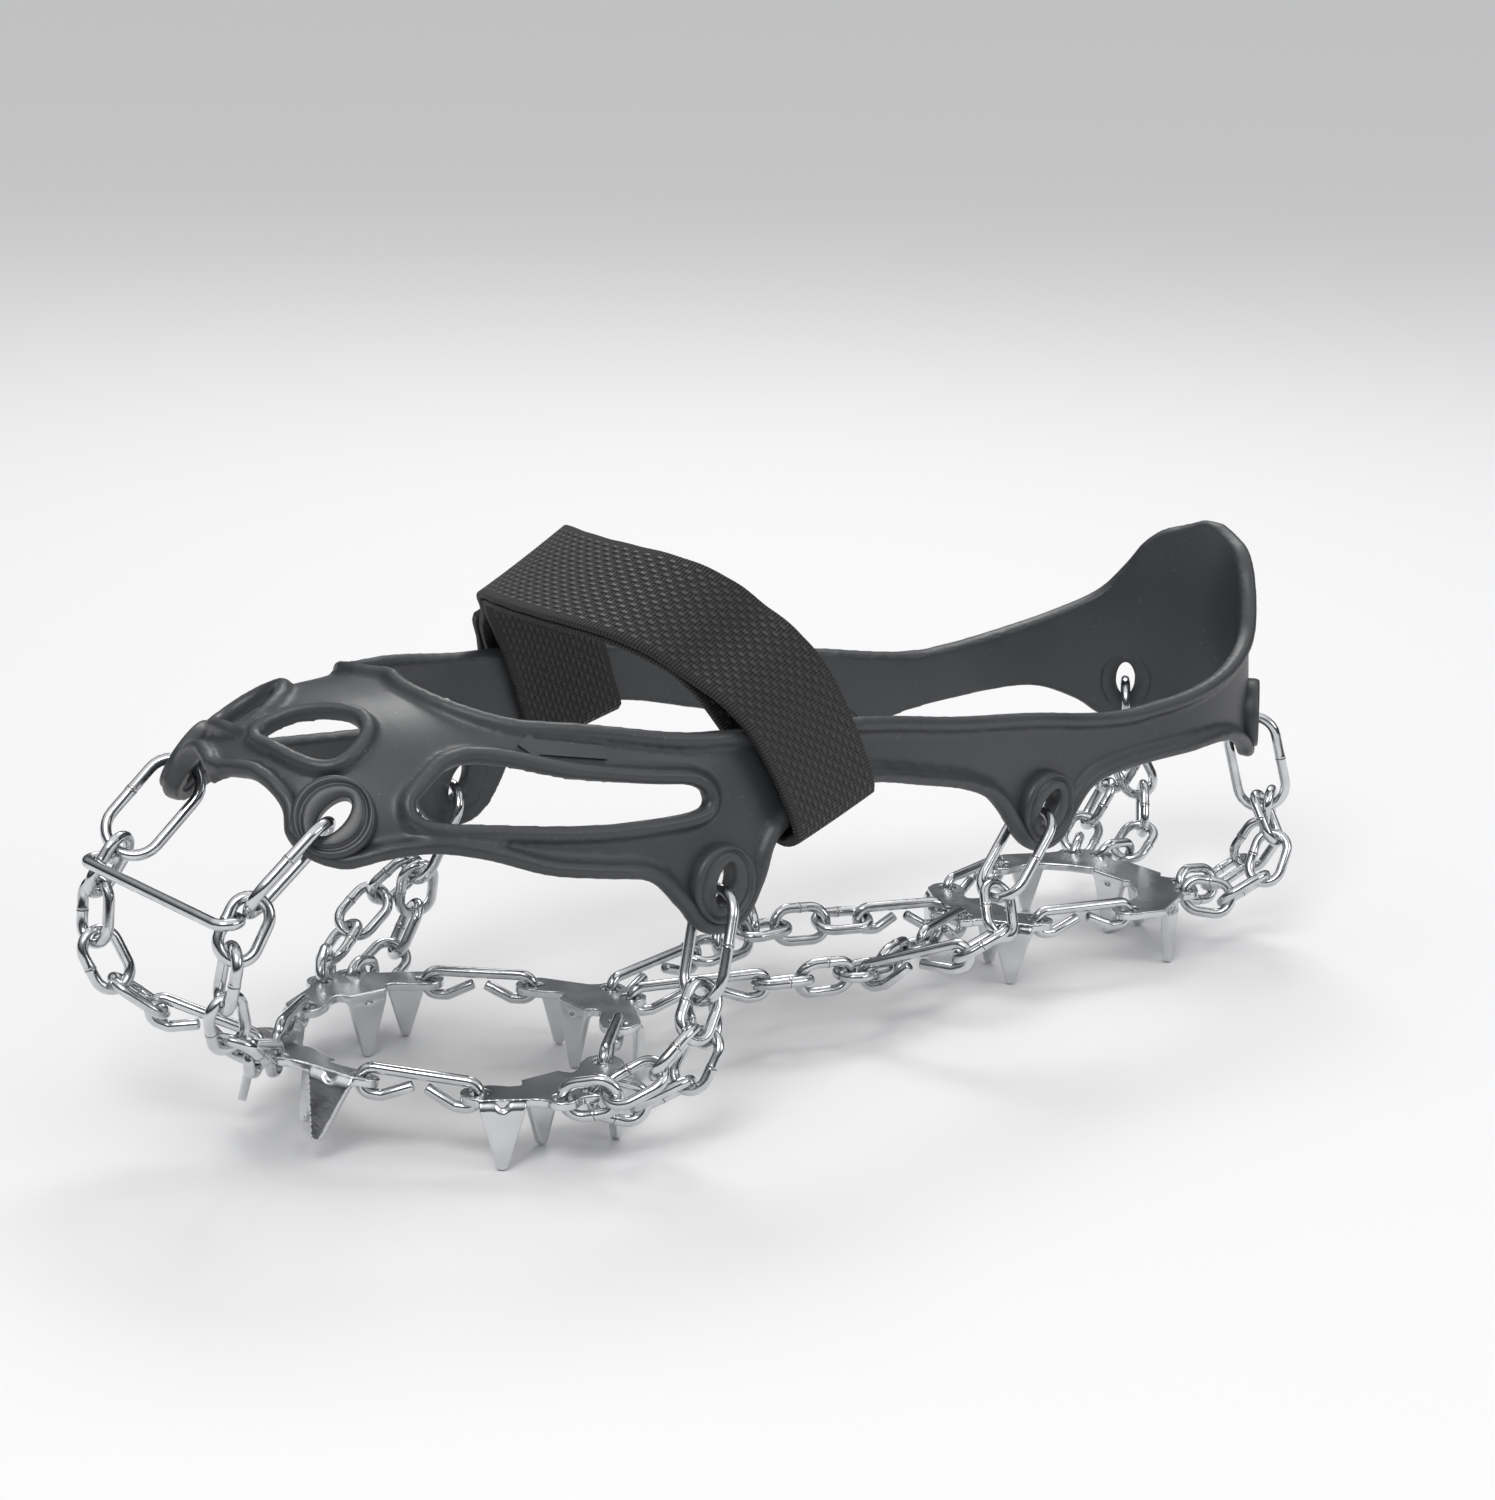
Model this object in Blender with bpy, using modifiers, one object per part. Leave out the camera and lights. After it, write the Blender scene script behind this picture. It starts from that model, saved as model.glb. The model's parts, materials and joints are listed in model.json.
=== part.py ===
"""Shoe ice cleat, as worn on a boot: rubber harness, chains, spike plates and instep strap.

The toe points to -Y and the wearer's left side is +X.  The boot itself is not modelled: the
harness lies on a smooth last, and the plates' top faces lie in the sole plane, z = 0.
All sizes are in millimetres; MM turns them into Blender's metres when an object is made.
"""

import math

import bmesh
import bpy
from mathutils import Matrix, Vector

MM = 0.001
GAP = 0.3  # clearance left between pieces that touch

# The last: the outer face of the stretched harness lies on it.
LAST_FLOOR = 25.0
LAST_POWER = 2.4
TOE_END = -152.0
BALL_Y = -70.0
WAIST_Y = 95.0
HEEL_Y = 100.0
HEEL_END = 152.0
BALL_HALF = 50.5
HEEL_HALF = 37.0
VAMP_Y = -105.0
ANKLE_Y = 60.0
TOE_LOW = 35.0
VAMP_HEIGHT = 81.0
ANKLE_HEIGHT = 150.0
HEEL_RUN = 70.0  # length of the chart that goes from the side to the back of the heel

# Harness
SHEET = 3.5
PAD_RADIUS = 8.6
PAD_THICK = 5.6
EYELET_WIDTH = 6.0
EYELET_LENGTH = 10.4
CHART_DEGREE = 0.8  # millimetres of chart for each degree of girth
ROW_STEP = 9.0  # degrees between the wrapped rows
COLUMN_STEP = 9.0

# Wire and chain
WIRE = 2.4
LINK_WIDTH = 10.2
EYE_LINK_LENGTH = 26.0
EYE_LINK_WIDTH = 14.0
HOOK_RADIUS = 2.75
HOOK_LEG = 9.5
WELD = 0.3  # how far neighbouring links of one run sink into each other

# Spike plates
SHEET_STEEL = 1.8
SPIKE = 15.0
SPIKE_BASE = 9.6
SPIKE_TIP = 2.6
PLATE_HOLE = 2.1
EAR_OFFSET = 3.7
ARM_OFFSET = 15.7
EAR_ROW = -6.15
ARM_ROW = 6.15
TOE_PLATE_Y = -119.0
TOE_PLATE_RISE = 4.2
TOE_PLATE_TILT = 16.0
SIDE_PLATE_X = 39.15
SIDE_PLATE_Y = -80.0
BALL_PLATE_Y = -41.0
HEEL_PLATE_Y = 70.5
REAR_PLATE_Y = 101.0
REAR_ARM = 22.5

# Strap
STRAP_WIDTH = 25.0
STRAP_THICK = 1.6
RING_ROOM = 6.0  # how much longer the ring is than the strap is wide
RING_LENGTH = STRAP_WIDTH + RING_ROOM
RING_HEIGHT = 15.0
RING_WIRE = 2.1

SIDES = (("left", 1.0), ("right", -1.0))


# ---------------------------------------------------------------- scene and materials

def clear_scene():
    for old in list(bpy.data.objects):
        bpy.data.objects.remove(old, do_unlink=True)


def make_collection(name, hidden=False):
    group = bpy.data.collections.new(name)
    bpy.context.scene.collection.children.link(group)
    group.hide_render = hidden
    return group


def make_material(name, colour, metallic, roughness):
    material = bpy.data.materials.new(name)
    material.use_nodes = True
    shader = material.node_tree.nodes["Principled BSDF"]
    shader.inputs["Base Color"].default_value = (*colour, 1.0)
    shader.inputs["Metallic"].default_value = metallic
    shader.inputs["Roughness"].default_value = roughness
    material.diffuse_color = (*colour, 1.0)
    return material


LOOKS = {
    "rubber": ((0.06, 0.063, 0.066), 0.0, 0.45),
    "wire": ((0.72, 0.73, 0.74), 1.0, 0.18),
    "plate": ((0.66, 0.67, 0.68), 1.0, 0.25),
    "webbing": ((0.015, 0.015, 0.017), 0.0, 0.8),
    "nickel": ((0.7, 0.69, 0.66), 1.0, 0.2),
}


def add_node(name, mesh, look, origin=Vector((0, 0, 0))):
    """Make one named object from a mesh in millimetres, with its origin at the given place."""
    mesh.transform(Matrix.Scale(MM, 4) @ Matrix.Translation(-origin))
    mesh.name = name
    mesh.materials.clear()
    mesh.materials.append(make_material(name, *LOOKS[look]))
    node = bpy.data.objects.new(name, mesh)
    node.location = origin * MM
    NODES.objects.link(node)
    return node


def baked_mesh(source, weld=0.001):
    """The evaluated mesh of an object, in world millimetres, with the object removed."""
    bpy.context.view_layer.update()
    evaluated = source.evaluated_get(bpy.context.evaluated_depsgraph_get())
    mesh = bpy.data.meshes.new_from_object(evaluated)
    mesh.transform(source.matrix_world)
    bm = bmesh.new()
    bm.from_mesh(mesh)
    bmesh.ops.remove_doubles(bm, verts=bm.verts, dist=weld)
    bm.to_mesh(mesh)
    bm.free()
    bpy.data.objects.remove(source, do_unlink=True)
    return mesh


def scratch_object(name, data):
    item = bpy.data.objects.new(name, data)
    CUTTERS.objects.link(item)
    item.display_type = "WIRE"
    return item


def combine(mesh, others, operation):
    """Union or difference of meshes by the exact Boolean."""
    base = scratch_object("base", mesh)
    helpers = []
    for other in others:
        helper = scratch_object("cutter", other)
        helpers.append(helper)
        boolean = base.modifiers.new(operation, "BOOLEAN")
        boolean.operation = operation
        boolean.solver = "EXACT"
        boolean.object = helper
    result = baked_mesh(base, weld=0.0005)
    for helper in helpers:
        bpy.data.objects.remove(helper, do_unlink=True)
    return result


# ---------------------------------------------------------------- the last

def smooth_step(value):
    value = min(1.0, max(0.0, value))
    return (1.0 - math.cos(math.pi * value)) / 2.0


def half_width(y):
    if y < BALL_Y:
        reach = min(1.0, (BALL_Y - y) / (BALL_Y - TOE_END))
        return BALL_HALF * math.sqrt(1.0 - reach * reach)
    return BALL_HALF + (HEEL_HALF - BALL_HALF) * smooth_step((y - BALL_Y) / (WAIST_Y - BALL_Y))


def crest(y):
    if y < VAMP_Y:
        reach = min(1.0, (VAMP_Y - y) / (VAMP_Y - TOE_END))
        return TOE_LOW + (VAMP_HEIGHT - TOE_LOW) * math.sqrt(1.0 - reach * reach)
    return VAMP_HEIGHT + (ANKLE_HEIGHT - VAMP_HEIGHT) * smooth_step((y - VAMP_Y) / (ANKLE_Y - VAMP_Y))


def last_point(station, degrees):
    """Point of the last: station runs along the boot, degrees from the side up to the crest."""
    girth = math.radians(min(90.0, max(0.0, degrees)))
    out = max(0.0, math.cos(girth)) ** (2.0 / LAST_POWER)
    up = math.sin(girth) ** (2.0 / LAST_POWER)
    if station <= HEEL_Y:
        return Vector((half_width(station) * out, station, LAST_FLOOR + (crest(station) - LAST_FLOOR) * up))
    turn = (station - HEEL_Y) / HEEL_RUN * math.pi / 2.0
    depth = HEEL_END - HEEL_Y
    reach = out / math.hypot(math.cos(turn) / HEEL_HALF, math.sin(turn) / depth)
    height = LAST_FLOOR + (crest(HEEL_Y) - LAST_FLOOR) * up
    return Vector((reach * math.cos(turn), HEEL_Y + reach * math.sin(turn), height))


def last_frame(station, degrees):
    """Outward normal and upward girth direction of the last."""
    degrees = min(89.0, max(1.0, degrees))
    along = last_point(station + 0.5, degrees) - last_point(station - 0.5, degrees)
    upward = last_point(station, degrees + 0.5) - last_point(station, degrees - 0.5)
    normal = along.cross(upward).normalized()
    return normal, upward.normalized()


def on_last(station, degrees, offset=0.0):
    normal, _ = last_frame(station, degrees)
    point = last_point(station, degrees)
    if degrees >= 90.0 or station >= HEEL_Y + HEEL_RUN:
        normal.x = 0.0
        point.x = 0.0
        normal.normalize()
    return point + normal * offset


def flank(y, z):
    """Chart place of a point on the flank, given its y and height."""
    lift = max(0.0, (z - LAST_FLOOR) / (crest(y) - LAST_FLOOR))
    return (y, math.degrees(math.asin(lift ** (LAST_POWER / 2.0))))


def crown(y, x):
    """Chart place of a point on top of the toe, given its y and distance from the middle."""
    return (y, math.degrees(math.acos((x / half_width(y)) ** (LAST_POWER / 2.0))))


def heel(turn, z):
    """Chart place of a point round the heel, turn degrees from the side."""
    _, degrees = flank(HEEL_Y, z)
    return (HEEL_Y + HEEL_RUN * turn / 90.0, degrees)


# ---------------------------------------------------------------- harness

OUTLINE = [
    (-137.5, 98.0), crown(-137.0, 5), crown(-135.2, 11), flank(-133.8, 64.0), flank(-134.8, 59.0),
    flank(-132.5, 55.0), flank(-127.0, 53.0), flank(-119.0, 54.6), flank(-110.0, 55.0),
    flank(-100.0, 52.8), flank(-88.0, 48.4), flank(-75.0, 45.8), flank(-64.5, 43.5),
    flank(-57.5, 37.0), flank(-52.5, 31.0), flank(-46.0, 28.9), flank(-39.5, 31.0),
    flank(-34.5, 38.0), flank(-30.0, 46.5), flank(-18.0, 51.5), flank(-6.0, 53.5),
    flank(14.4, 49.5), flank(29.8, 45.5), flank(39.0, 41.0), flank(45.5, 33.5),
    flank(50.5, 28.2), flank(56.5, 26.4), flank(62.5, 28.2), flank(67.0, 34.0),
    flank(73.0, 39.0), flank(84.0, 40.8), heel(6, 41.6), heel(30, 41.5), heel(46, 37.5),
    heel(54, 33.5), heel(62, 32.2), heel(70, 33.8), heel(78, 38.5), heel(98, 41.0),
    heel(98, 84.0), heel(78, 83.0), heel(68, 79.0), heel(61, 72.0), heel(52, 65.0),
    heel(36, 60.0), heel(16, 56.8), flank(95.0, 55.0), flank(80.0, 54.6), flank(59.0, 57.6),
    flank(25.5, 62.3), flank(-4.0, 67.3), flank(-25.0, 69.3), flank(-51.3, 71.0),
    flank(-74.9, 75.0), crown(-86.0, 28), crown(-93.5, 19), crown(-96.0, 9), (-96.0, 98.0),
]
TOE_WINDOW = [
    crown(-128.4, 3.2), crown(-122.0, 4.6), crown(-117.0, 9.0), crown(-113.4, 15.0),
    crown(-114.6, 19.3), crown(-119.5, 21.6), crown(-123.8, 20.6), crown(-126.8, 16.0),
    crown(-128.3, 9.5),
]
SIDE_WINDOW = [
    flank(-112.0, 63.8), flank(-107.0, 67.6), flank(-101.0, 70.4), flank(-93.0, 70.2),
    flank(-78.5, 66.0), flank(-62.0, 62.8), flank(-51.5, 61.0), flank(-48.2, 58.0),
    flank(-51.5, 55.4), flank(-70.6, 55.8), flank(-95.6, 58.6), flank(-109.5, 60.6),
]
EYELETS = {
    "front": flank(-126.7, 62.3),
    "mid": flank(-46.0, 39.5),
    "arch": flank(56.5, 36.5),
    "rear": heel(62, 42.5),
}


def chart_curve(outlines, steps):
    data = bpy.data.curves.new("chart", "CURVE")
    data.dimensions = "2D"
    data.fill_mode = "BOTH"
    data.resolution_u = steps
    for outline in outlines:
        spline = data.splines.new("BEZIER")
        spline.bezier_points.add(len(outline) - 1)
        spline.use_cyclic_u = True
        for knot, (station, degrees) in zip(spline.bezier_points, outline):
            knot.co = (station, degrees * CHART_DEGREE, 0.0)
            knot.handle_left_type = "AUTO"
            knot.handle_right_type = "AUTO"
    return data


def slice_sheet(bm, axis, start, stop, step):
    """Cut a flat sheet along evenly spaced lines so that it can bend."""
    count = int((stop - start) / step)
    for index in range(1, count + 1):
        place = Vector((0, 0, 0))
        place[axis] = start + index * step
        normal = Vector((0, 0, 0))
        normal[axis] = 1.0
        bmesh.ops.bisect_plane(bm, geom=bm.verts[:] + bm.edges[:] + bm.faces[:], dist=0.01,
                               plane_co=place, plane_no=normal)


def trim_sheet(bm, axis, limit):
    place = Vector((0, 0, 0))
    place[axis] = limit
    normal = Vector((0, 0, 0))
    normal[axis] = 1.0
    bmesh.ops.bisect_plane(bm, geom=bm.verts[:] + bm.edges[:] + bm.faces[:], dist=0.01,
                           plane_co=place, plane_no=normal, clear_outer=True)


def harness_mesh():
    sheet = baked_mesh(scratch_object("chart", chart_curve([OUTLINE, TOE_WINDOW, SIDE_WINDOW], 1)))
    bm = bmesh.new()
    bm.from_mesh(sheet)
    trim_sheet(bm, 0, HEEL_Y + HEEL_RUN)
    trim_sheet(bm, 1, 90.0 * CHART_DEGREE)
    slice_sheet(bm, 0, TOE_END, HEEL_Y + HEEL_RUN, COLUMN_STEP)
    slice_sheet(bm, 1, 0.0, 90.0 * CHART_DEGREE, ROW_STEP * CHART_DEGREE)
    bmesh.ops.remove_doubles(bm, verts=bm.verts, dist=0.3)
    for vertex in bm.verts:
        vertex.co = on_last(vertex.co.x, vertex.co.y / CHART_DEGREE)
    bmesh.ops.recalc_face_normals(bm, faces=bm.faces)
    if sum((face.normal.x * face.calc_area() for face in bm.faces)) < 0.0:
        bmesh.ops.reverse_faces(bm, faces=bm.faces)
    bm.to_mesh(sheet)
    bm.free()
    shell = scratch_object("shell", sheet)
    mirror = shell.modifiers.new("Mirror", "MIRROR")
    mirror.merge_threshold = 0.0001
    solid = shell.modifiers.new("Solidify", "SOLIDIFY")
    solid.thickness = SHEET
    solid.offset = -1.0
    solid.use_even_offset = False
    mesh = baked_mesh(shell)
    pads = [eyelet_cylinder(place, side, PAD_RADIUS, PAD_THICK)
            for place in EYELETS.values() for _, side in SIDES]
    holes = [eyelet_hole(key, side) for key in EYELETS for _, side in SIDES]
    mesh = combine(mesh, pads, "UNION")
    return combine(mesh, holes, "DIFFERENCE")


def mirrored(vector, side):
    return Vector((vector.x * side, vector.y, vector.z))


def eyelet_frame(key, side):
    """Middle of an eyelet's rubber, and the outward direction there."""
    station, degrees = EYELETS[key]
    normal, _ = last_frame(station, degrees)
    middle = last_point(station, degrees) - normal * (SHEET / 2.0)
    return mirrored(middle, side), mirrored(normal, side)


def eyelet_cylinder(place, side, radius, length):
    normal, _ = last_frame(*place)
    middle = mirrored(last_point(*place) - normal * (SHEET / 2.0), side)
    bm = bmesh.new()
    bmesh.ops.create_cone(bm, cap_ends=True, segments=16, radius1=radius, radius2=radius, depth=length)
    turn = mirrored(normal, side).to_track_quat("Z", "X").to_matrix().to_4x4()
    bmesh.ops.transform(bm, matrix=Matrix.Translation(middle) @ turn, verts=bm.verts)
    mesh = bpy.data.meshes.new("pad")
    bm.to_mesh(mesh)
    bm.free()
    return mesh


def eyelet_hole(key, side):
    """Oval cutter for an eyelet, its long way along the pull of the link."""
    middle, normal = eyelet_frame(key, 1.0)
    pull = Vector(CHAINS[key]["reach"])
    pull = (pull - normal * pull.dot(normal)).normalized()
    bm = bmesh.new()
    bmesh.ops.create_cone(bm, cap_ends=True, segments=16, radius1=1.0, radius2=1.0, depth=3.0 * PAD_THICK)
    bmesh.ops.scale(bm, vec=(EYELET_WIDTH / 2.0, EYELET_LENGTH / 2.0, 1.0), verts=bm.verts)
    turn = Matrix((pull.cross(normal), pull, normal)).transposed().to_4x4()
    bmesh.ops.transform(bm, matrix=Matrix.Translation(middle) @ turn, verts=bm.verts)
    mesh = bpy.data.meshes.new("hole")
    bm.to_mesh(mesh)
    bm.free()
    return mesh if side > 0.0 else flip_mesh(mesh)


def flip_mesh(mesh):
    """Mirror a left piece into a right one."""
    mesh = mesh.copy()
    mesh.transform(Matrix.Scale(-1.0, 4, Vector((1.0, 0.0, 0.0))))
    mesh.flip_normals()
    return mesh


# ---------------------------------------------------------------- wire pieces

def wire_mesh(points, radius=WIRE / 2.0, closed=False):
    data = bpy.data.curves.new("wire", "CURVE")
    data.dimensions = "3D"
    data.bevel_depth = radius
    data.bevel_resolution = 1
    data.use_fill_caps = True
    spline = data.splines.new("POLY")
    spline.points.add(len(points) - 1)
    spline.use_cyclic_u = closed
    for knot, point in zip(spline.points, points):
        knot.co = (*point, 1.0)
    return baked_mesh(scratch_object("wire", data))


def arc(centre, first, second, radius, start, stop, steps):
    """Points of an arc in the plane of two unit directions."""
    angles = [math.radians(start + (stop - start) * index / steps) for index in range(steps + 1)]
    return [centre + first * (radius * math.cos(a)) + second * (radius * math.sin(a)) for a in angles]


def oval_points(start, end, side, width, steps=4):
    """Centre line of an oval link between two apex points; side points across it."""
    along = (end - start).normalized()
    across = (side - along * side.dot(along)).normalized()
    radius = (width - WIRE) / 2.0
    first = arc(start + along * radius, -along, across, radius, -90.0, 90.0, steps)
    second = arc(end - along * radius, along, across, radius, 90.0, -90.0, steps)
    return first + second


def connector_points(start, end, up, leg=HOOK_LEG):
    """Straight wire with both ends hooked back: apex points, and the side of the straight wire."""
    along = (end - start).normalized()
    up = (up - along * up.dot(along)).normalized()
    radius = HOOK_RADIUS
    leg = min(leg, (end - start).length / 2.0 - radius - 1.6)
    first = arc(start + along * radius, -along, up, radius, -90.0, 90.0, 6)
    second = arc(end - along * radius, along, up, radius, 90.0, -90.0, 6)
    leg_in = start + along * (radius + leg) + up * (radius - WIRE - GAP)
    leg_out = end - along * (radius + leg) + up * (radius - WIRE - GAP)
    knee_in = start + along * (radius + 2.2) - up * radius
    knee_out = end - along * (radius + 2.2) - up * radius
    return [leg_in, knee_in] + first + second + [knee_out, leg_out]


def arc_chain(start, end, bulge, count, pitch):
    """Joints of a chain of equal links that hangs from start to end in a circular arc."""
    chord = end - start
    along = chord.normalized()
    out = (bulge - along * bulge.dot(along)).normalized()
    low, high = 1e-4, 2.0 * math.pi / count * 0.9
    for _ in range(60):
        turn = (low + high) / 2.0
        span = pitch * math.sin(count * turn / 2.0) / math.sin(turn / 2.0)
        if span > chord.length:
            low = turn
        else:
            high = turn
    points = [start]
    heading = count * turn / 2.0 - turn / 2.0
    for _ in range(count):
        step = along * math.cos(heading) + out * math.sin(heading)
        points.append(points[-1] + step * pitch)
        heading -= turn
    scale = chord.length / (points[-1] - start).length
    return [start + (point - start) * scale for point in points]


def turned_side(start, end, normal, degrees):
    """Width direction of a link, turned about its length from the given normal."""
    along = (end - start).normalized()
    base = (normal - along * normal.dot(along)).normalized()
    return Matrix.Rotation(math.radians(degrees), 3, along) @ base


def run_mesh(joints, normal, turns, ends):
    """A run of links that share one node: neighbours sink slightly into each other."""
    links = []
    count = len(joints) - 1
    for index in range(count):
        start, end = joints[index], joints[index + 1]
        along = (end - start).normalized()
        fused = WIRE / 2.0 - WELD / 2.0
        lead = ends[0] if index == 0 else fused
        tail = ends[1] if index == count - 1 else fused
        side = turned_side(start, end, normal, turns[index])
        links.append(wire_mesh(oval_points(start - along * lead, end + along * tail, side, LINK_WIDTH),
                               closed=True))
    if count == 1:
        return links[0]
    return combine(links[0], links[1:], "UNION")


LOOSE = WIRE / 2.0 + GAP / 2.0  # from a joint point to a wire's centre where two pieces hang together


# ---------------------------------------------------------------- spike plates

def plate_curve(outline, holes, depth):
    data = bpy.data.curves.new("plate", "CURVE")
    data.dimensions = "2D"
    data.fill_mode = "BOTH"
    data.extrude = depth / 2.0
    loops = [outline] + [[(u + PLATE_HOLE * math.cos(math.radians(a)), v + PLATE_HOLE * math.sin(math.radians(a)))
                          for a in range(0, 360, 30)] for u, v in holes]
    for loop in loops:
        spline = data.splines.new("POLY")
        spline.points.add(len(loop) - 1)
        spline.use_cyclic_u = True
        for knot, (u, v) in zip(spline.points, loop):
            knot.co = (u, v, 0.0, 1.0)
    return data


def round_end(u, v, radius, start, stop, steps):
    return [(u + radius * math.cos(math.radians(start + (stop - start) * i / steps)),
             v + radius * math.sin(math.radians(start + (stop - start) * i / steps)))
            for i in range(steps + 1)]


def both_halves(half):
    """Close a half outline, listed from the middle of one edge to the middle of the other."""
    return half + [(-u, v) for u, v in reversed(half) if u > 0.01]


SMALL_HALF = (
    [(0.0, -8.3)]
    + round_end(EAR_OFFSET, EAR_ROW, 3.5, -110.0, 10.0, 4)
    + [(8.6, -3.6), (10.3, -2.6), (18.6, 2.4)]
    + round_end(ARM_OFFSET, ARM_ROW, 4.1, -20.0, 110.0, 4)
    + [(11.2, 8.2), (8.6, 5.4), (6.4, 4.6), (5.4, 5.6), (4.8, 7.2), (0.0, 7.2)]
)
SMALL_HOLES = [(s * u, v) for s in (1, -1) for u, v in ((EAR_OFFSET, EAR_ROW), (ARM_OFFSET, ARM_ROW))]
SMALL_SPIKES = [((14.45, -0.1), 31.0), ((-14.45, -0.1), 329.0), ((0.0, 6.36), 0.0)]

REAR_EARS = ((14.2, -26.0), (19.4, -22.0))
REAR_HALF = (
    [(6.2, -27.6), (8.0, -25.6), (10.2, -26.4)]
    + round_end(14.2, -26.0, 3.6, -130.0, -60.0, 2)
    + round_end(19.4, -22.0, 3.6, -60.0, 40.0, 3)
    + [(22.6, -17.4), (28.4, -6.0)]
    + round_end(REAR_ARM, 0.0, 4.2, -10.0, 160.0, 5)
    + [(18.6, -3.4), (16.4, -9.2), (12.0, -13.2), (8.0, -15.4), (6.4, -16.6), (5.2, -15.2)]
)
REAR_HOLES = [(s * u, v) for s in (1, -1) for u, v in REAR_EARS + ((REAR_ARM, 0.0),)]
REAR_SPIKES = [((25.0, -11.6), 63.0), ((-25.0, -11.6), -63.0), ((0.0, -16.04), 0.0), ((0.0, -26.76), 0.0)]


def spike_mesh(place, turn):
    """One spike: a tapered blade that hangs from the plate's edge."""
    half, tip = SPIKE_BASE / 2.0, SPIKE_TIP / 2.0
    blade = [(-half, -0.4), (half, -0.4), (tip, 1.2 - SPIKE), (0.5 * tip, -SPIKE), (-0.5 * tip, -SPIKE),
             (-tip, 1.2 - SPIKE)]
    mesh = baked_mesh(scratch_object("blade", plate_curve(blade, [], SHEET_STEEL)))
    upright = Matrix.Rotation(math.radians(90.0), 4, "X")
    mesh.transform(Matrix.Translation((place[0], place[1], 0.0))
                   @ Matrix.Rotation(math.radians(turn), 4, "Z") @ upright)
    return mesh


def plate_mesh(half, holes, spikes):
    mesh = baked_mesh(scratch_object("sheet", plate_curve(both_halves(half), holes, SHEET_STEEL)))
    mesh.transform(Matrix.Translation((0.0, 0.0, -SHEET_STEEL / 2.0)))
    return combine(mesh, [spike_mesh(place, turn) for place, turn in spikes], "UNION")


def plate_matrix(x, y, z, yaw, tilt=0.0):
    return (Matrix.Translation((x, y, z)) @ Matrix.Rotation(math.radians(tilt), 4, "X")
            @ Matrix.Rotation(math.radians(yaw), 4, "Z"))


PLATES = {
    "plate_toe": plate_matrix(0.0, TOE_PLATE_Y, TOE_PLATE_RISE, 0.0, -TOE_PLATE_TILT),
    "plate_side_left": plate_matrix(SIDE_PLATE_X, SIDE_PLATE_Y, 0.0, 90.0),
    "plate_side_right": plate_matrix(-SIDE_PLATE_X, SIDE_PLATE_Y, 0.0, -90.0),
    "plate_ball": plate_matrix(0.0, BALL_PLATE_Y, 0.0, 180.0),
    "plate_heel": plate_matrix(0.0, HEEL_PLATE_Y, 0.0, 0.0),
    "plate_rear": plate_matrix(0.0, REAR_PLATE_Y, 0.0, 180.0),
}


def plate_hole(plate, u, v):
    """Middle of a plate's hole, halfway through the steel."""
    return PLATES[plate] @ Vector((u, v, -SHEET_STEEL / 2.0))


def plate_up(plate):
    return PLATES[plate].to_3x3() @ Vector((0.0, 0.0, 1.0))


# ---------------------------------------------------------------- chains of the left side

SHIFT_IN_EYELET = 1.2  # a link pulls towards the eyelet's edge
JUNCTION = Vector((18.0, 20.5, -SHEET_STEEL / 2.0))
LINK_PITCH = 10.4
HOOK_SLACK = 0.6  # play between a chain's last link and a connector

# Each eyelet's chain: how far away the place its eyelet link points at is, the play in that link,
# and for each strand the way it bulges and how far each link is turned about its length.  The toe
# chain's low end is given from the toe plate's ear.
CHAINS = {
    "front": {"reach": (-0.881, -17.581, -14.6), "slack": 0.64, "gap": 0.0, "low": (14.34, -14.97, 7.37),
              "bulges": [(0.17, -0.84, -1.03)], "turns": [(75.8, -28.1, -123.2, -10.4)]},
    "mid": {"reach": (4.384, -7.265, -18.675), "slack": 1.19, "gap": 1.47,
            "bulges": [(0.38, 0.36, -0.86), (0.97, 0.16, -0.26)],
            "turns": [(81.1, 162.1, 37.9, -98.7), (102.9, 224.4, -16.1, -88.1)]},
    "arch": {"reach": (3.562, -26.7, -29.481), "slack": 0.79, "gap": 0.0,
             "bulges": [(1.4, -0.26, -1.07)], "turns": [(103.7, 32.1)]},
    "rear": {"reach": (3.261, 4.727, -22.13), "slack": 0.94, "gap": -1.31,
             "bulges": [(-0.29, 0.51, -0.85), (0.97, 0.54, -0.79)],
             "turns": [(102.0, 6.4, 46.3, -81.2), (113.6, 10.8, 80.8, 42.5)]},
}


class EyeLink:
    """The long link in an eyelet: its apexes, width direction and the joint at its lower end."""

    def __init__(self, key):
        self.hole, self.normal = eyelet_frame(key, 1.0)
        self.along = Vector(CHAINS[key]["reach"]).normalized()
        self.start = self.hole + self.along * SHIFT_IN_EYELET
        self.end = self.start + self.along * (EYE_LINK_LENGTH - WIRE)
        self.side = (self.normal - self.along * self.normal.dot(self.along)).normalized()
        self.joint = self.end - self.along * (LOOSE + CHAINS[key]["slack"])
        self.key = key

    def points(self):
        return oval_points(self.start, self.end, self.side, EYE_LINK_WIDTH, steps=5)

    def strand(self, index, end, count):
        """Joints of one strand that hangs in this link and ends at a given point."""
        chain = CHAINS[self.key]
        shift = chain["gap"] if index else -chain["gap"]
        return arc_chain(self.joint + self.side * shift, end, Vector(chain["bulges"][index]), count,
                         LINK_PITCH)


def toe_chain_low():
    return plate_hole("plate_toe", EAR_OFFSET, EAR_ROW) + Vector(CHAINS["front"]["low"])


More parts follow.
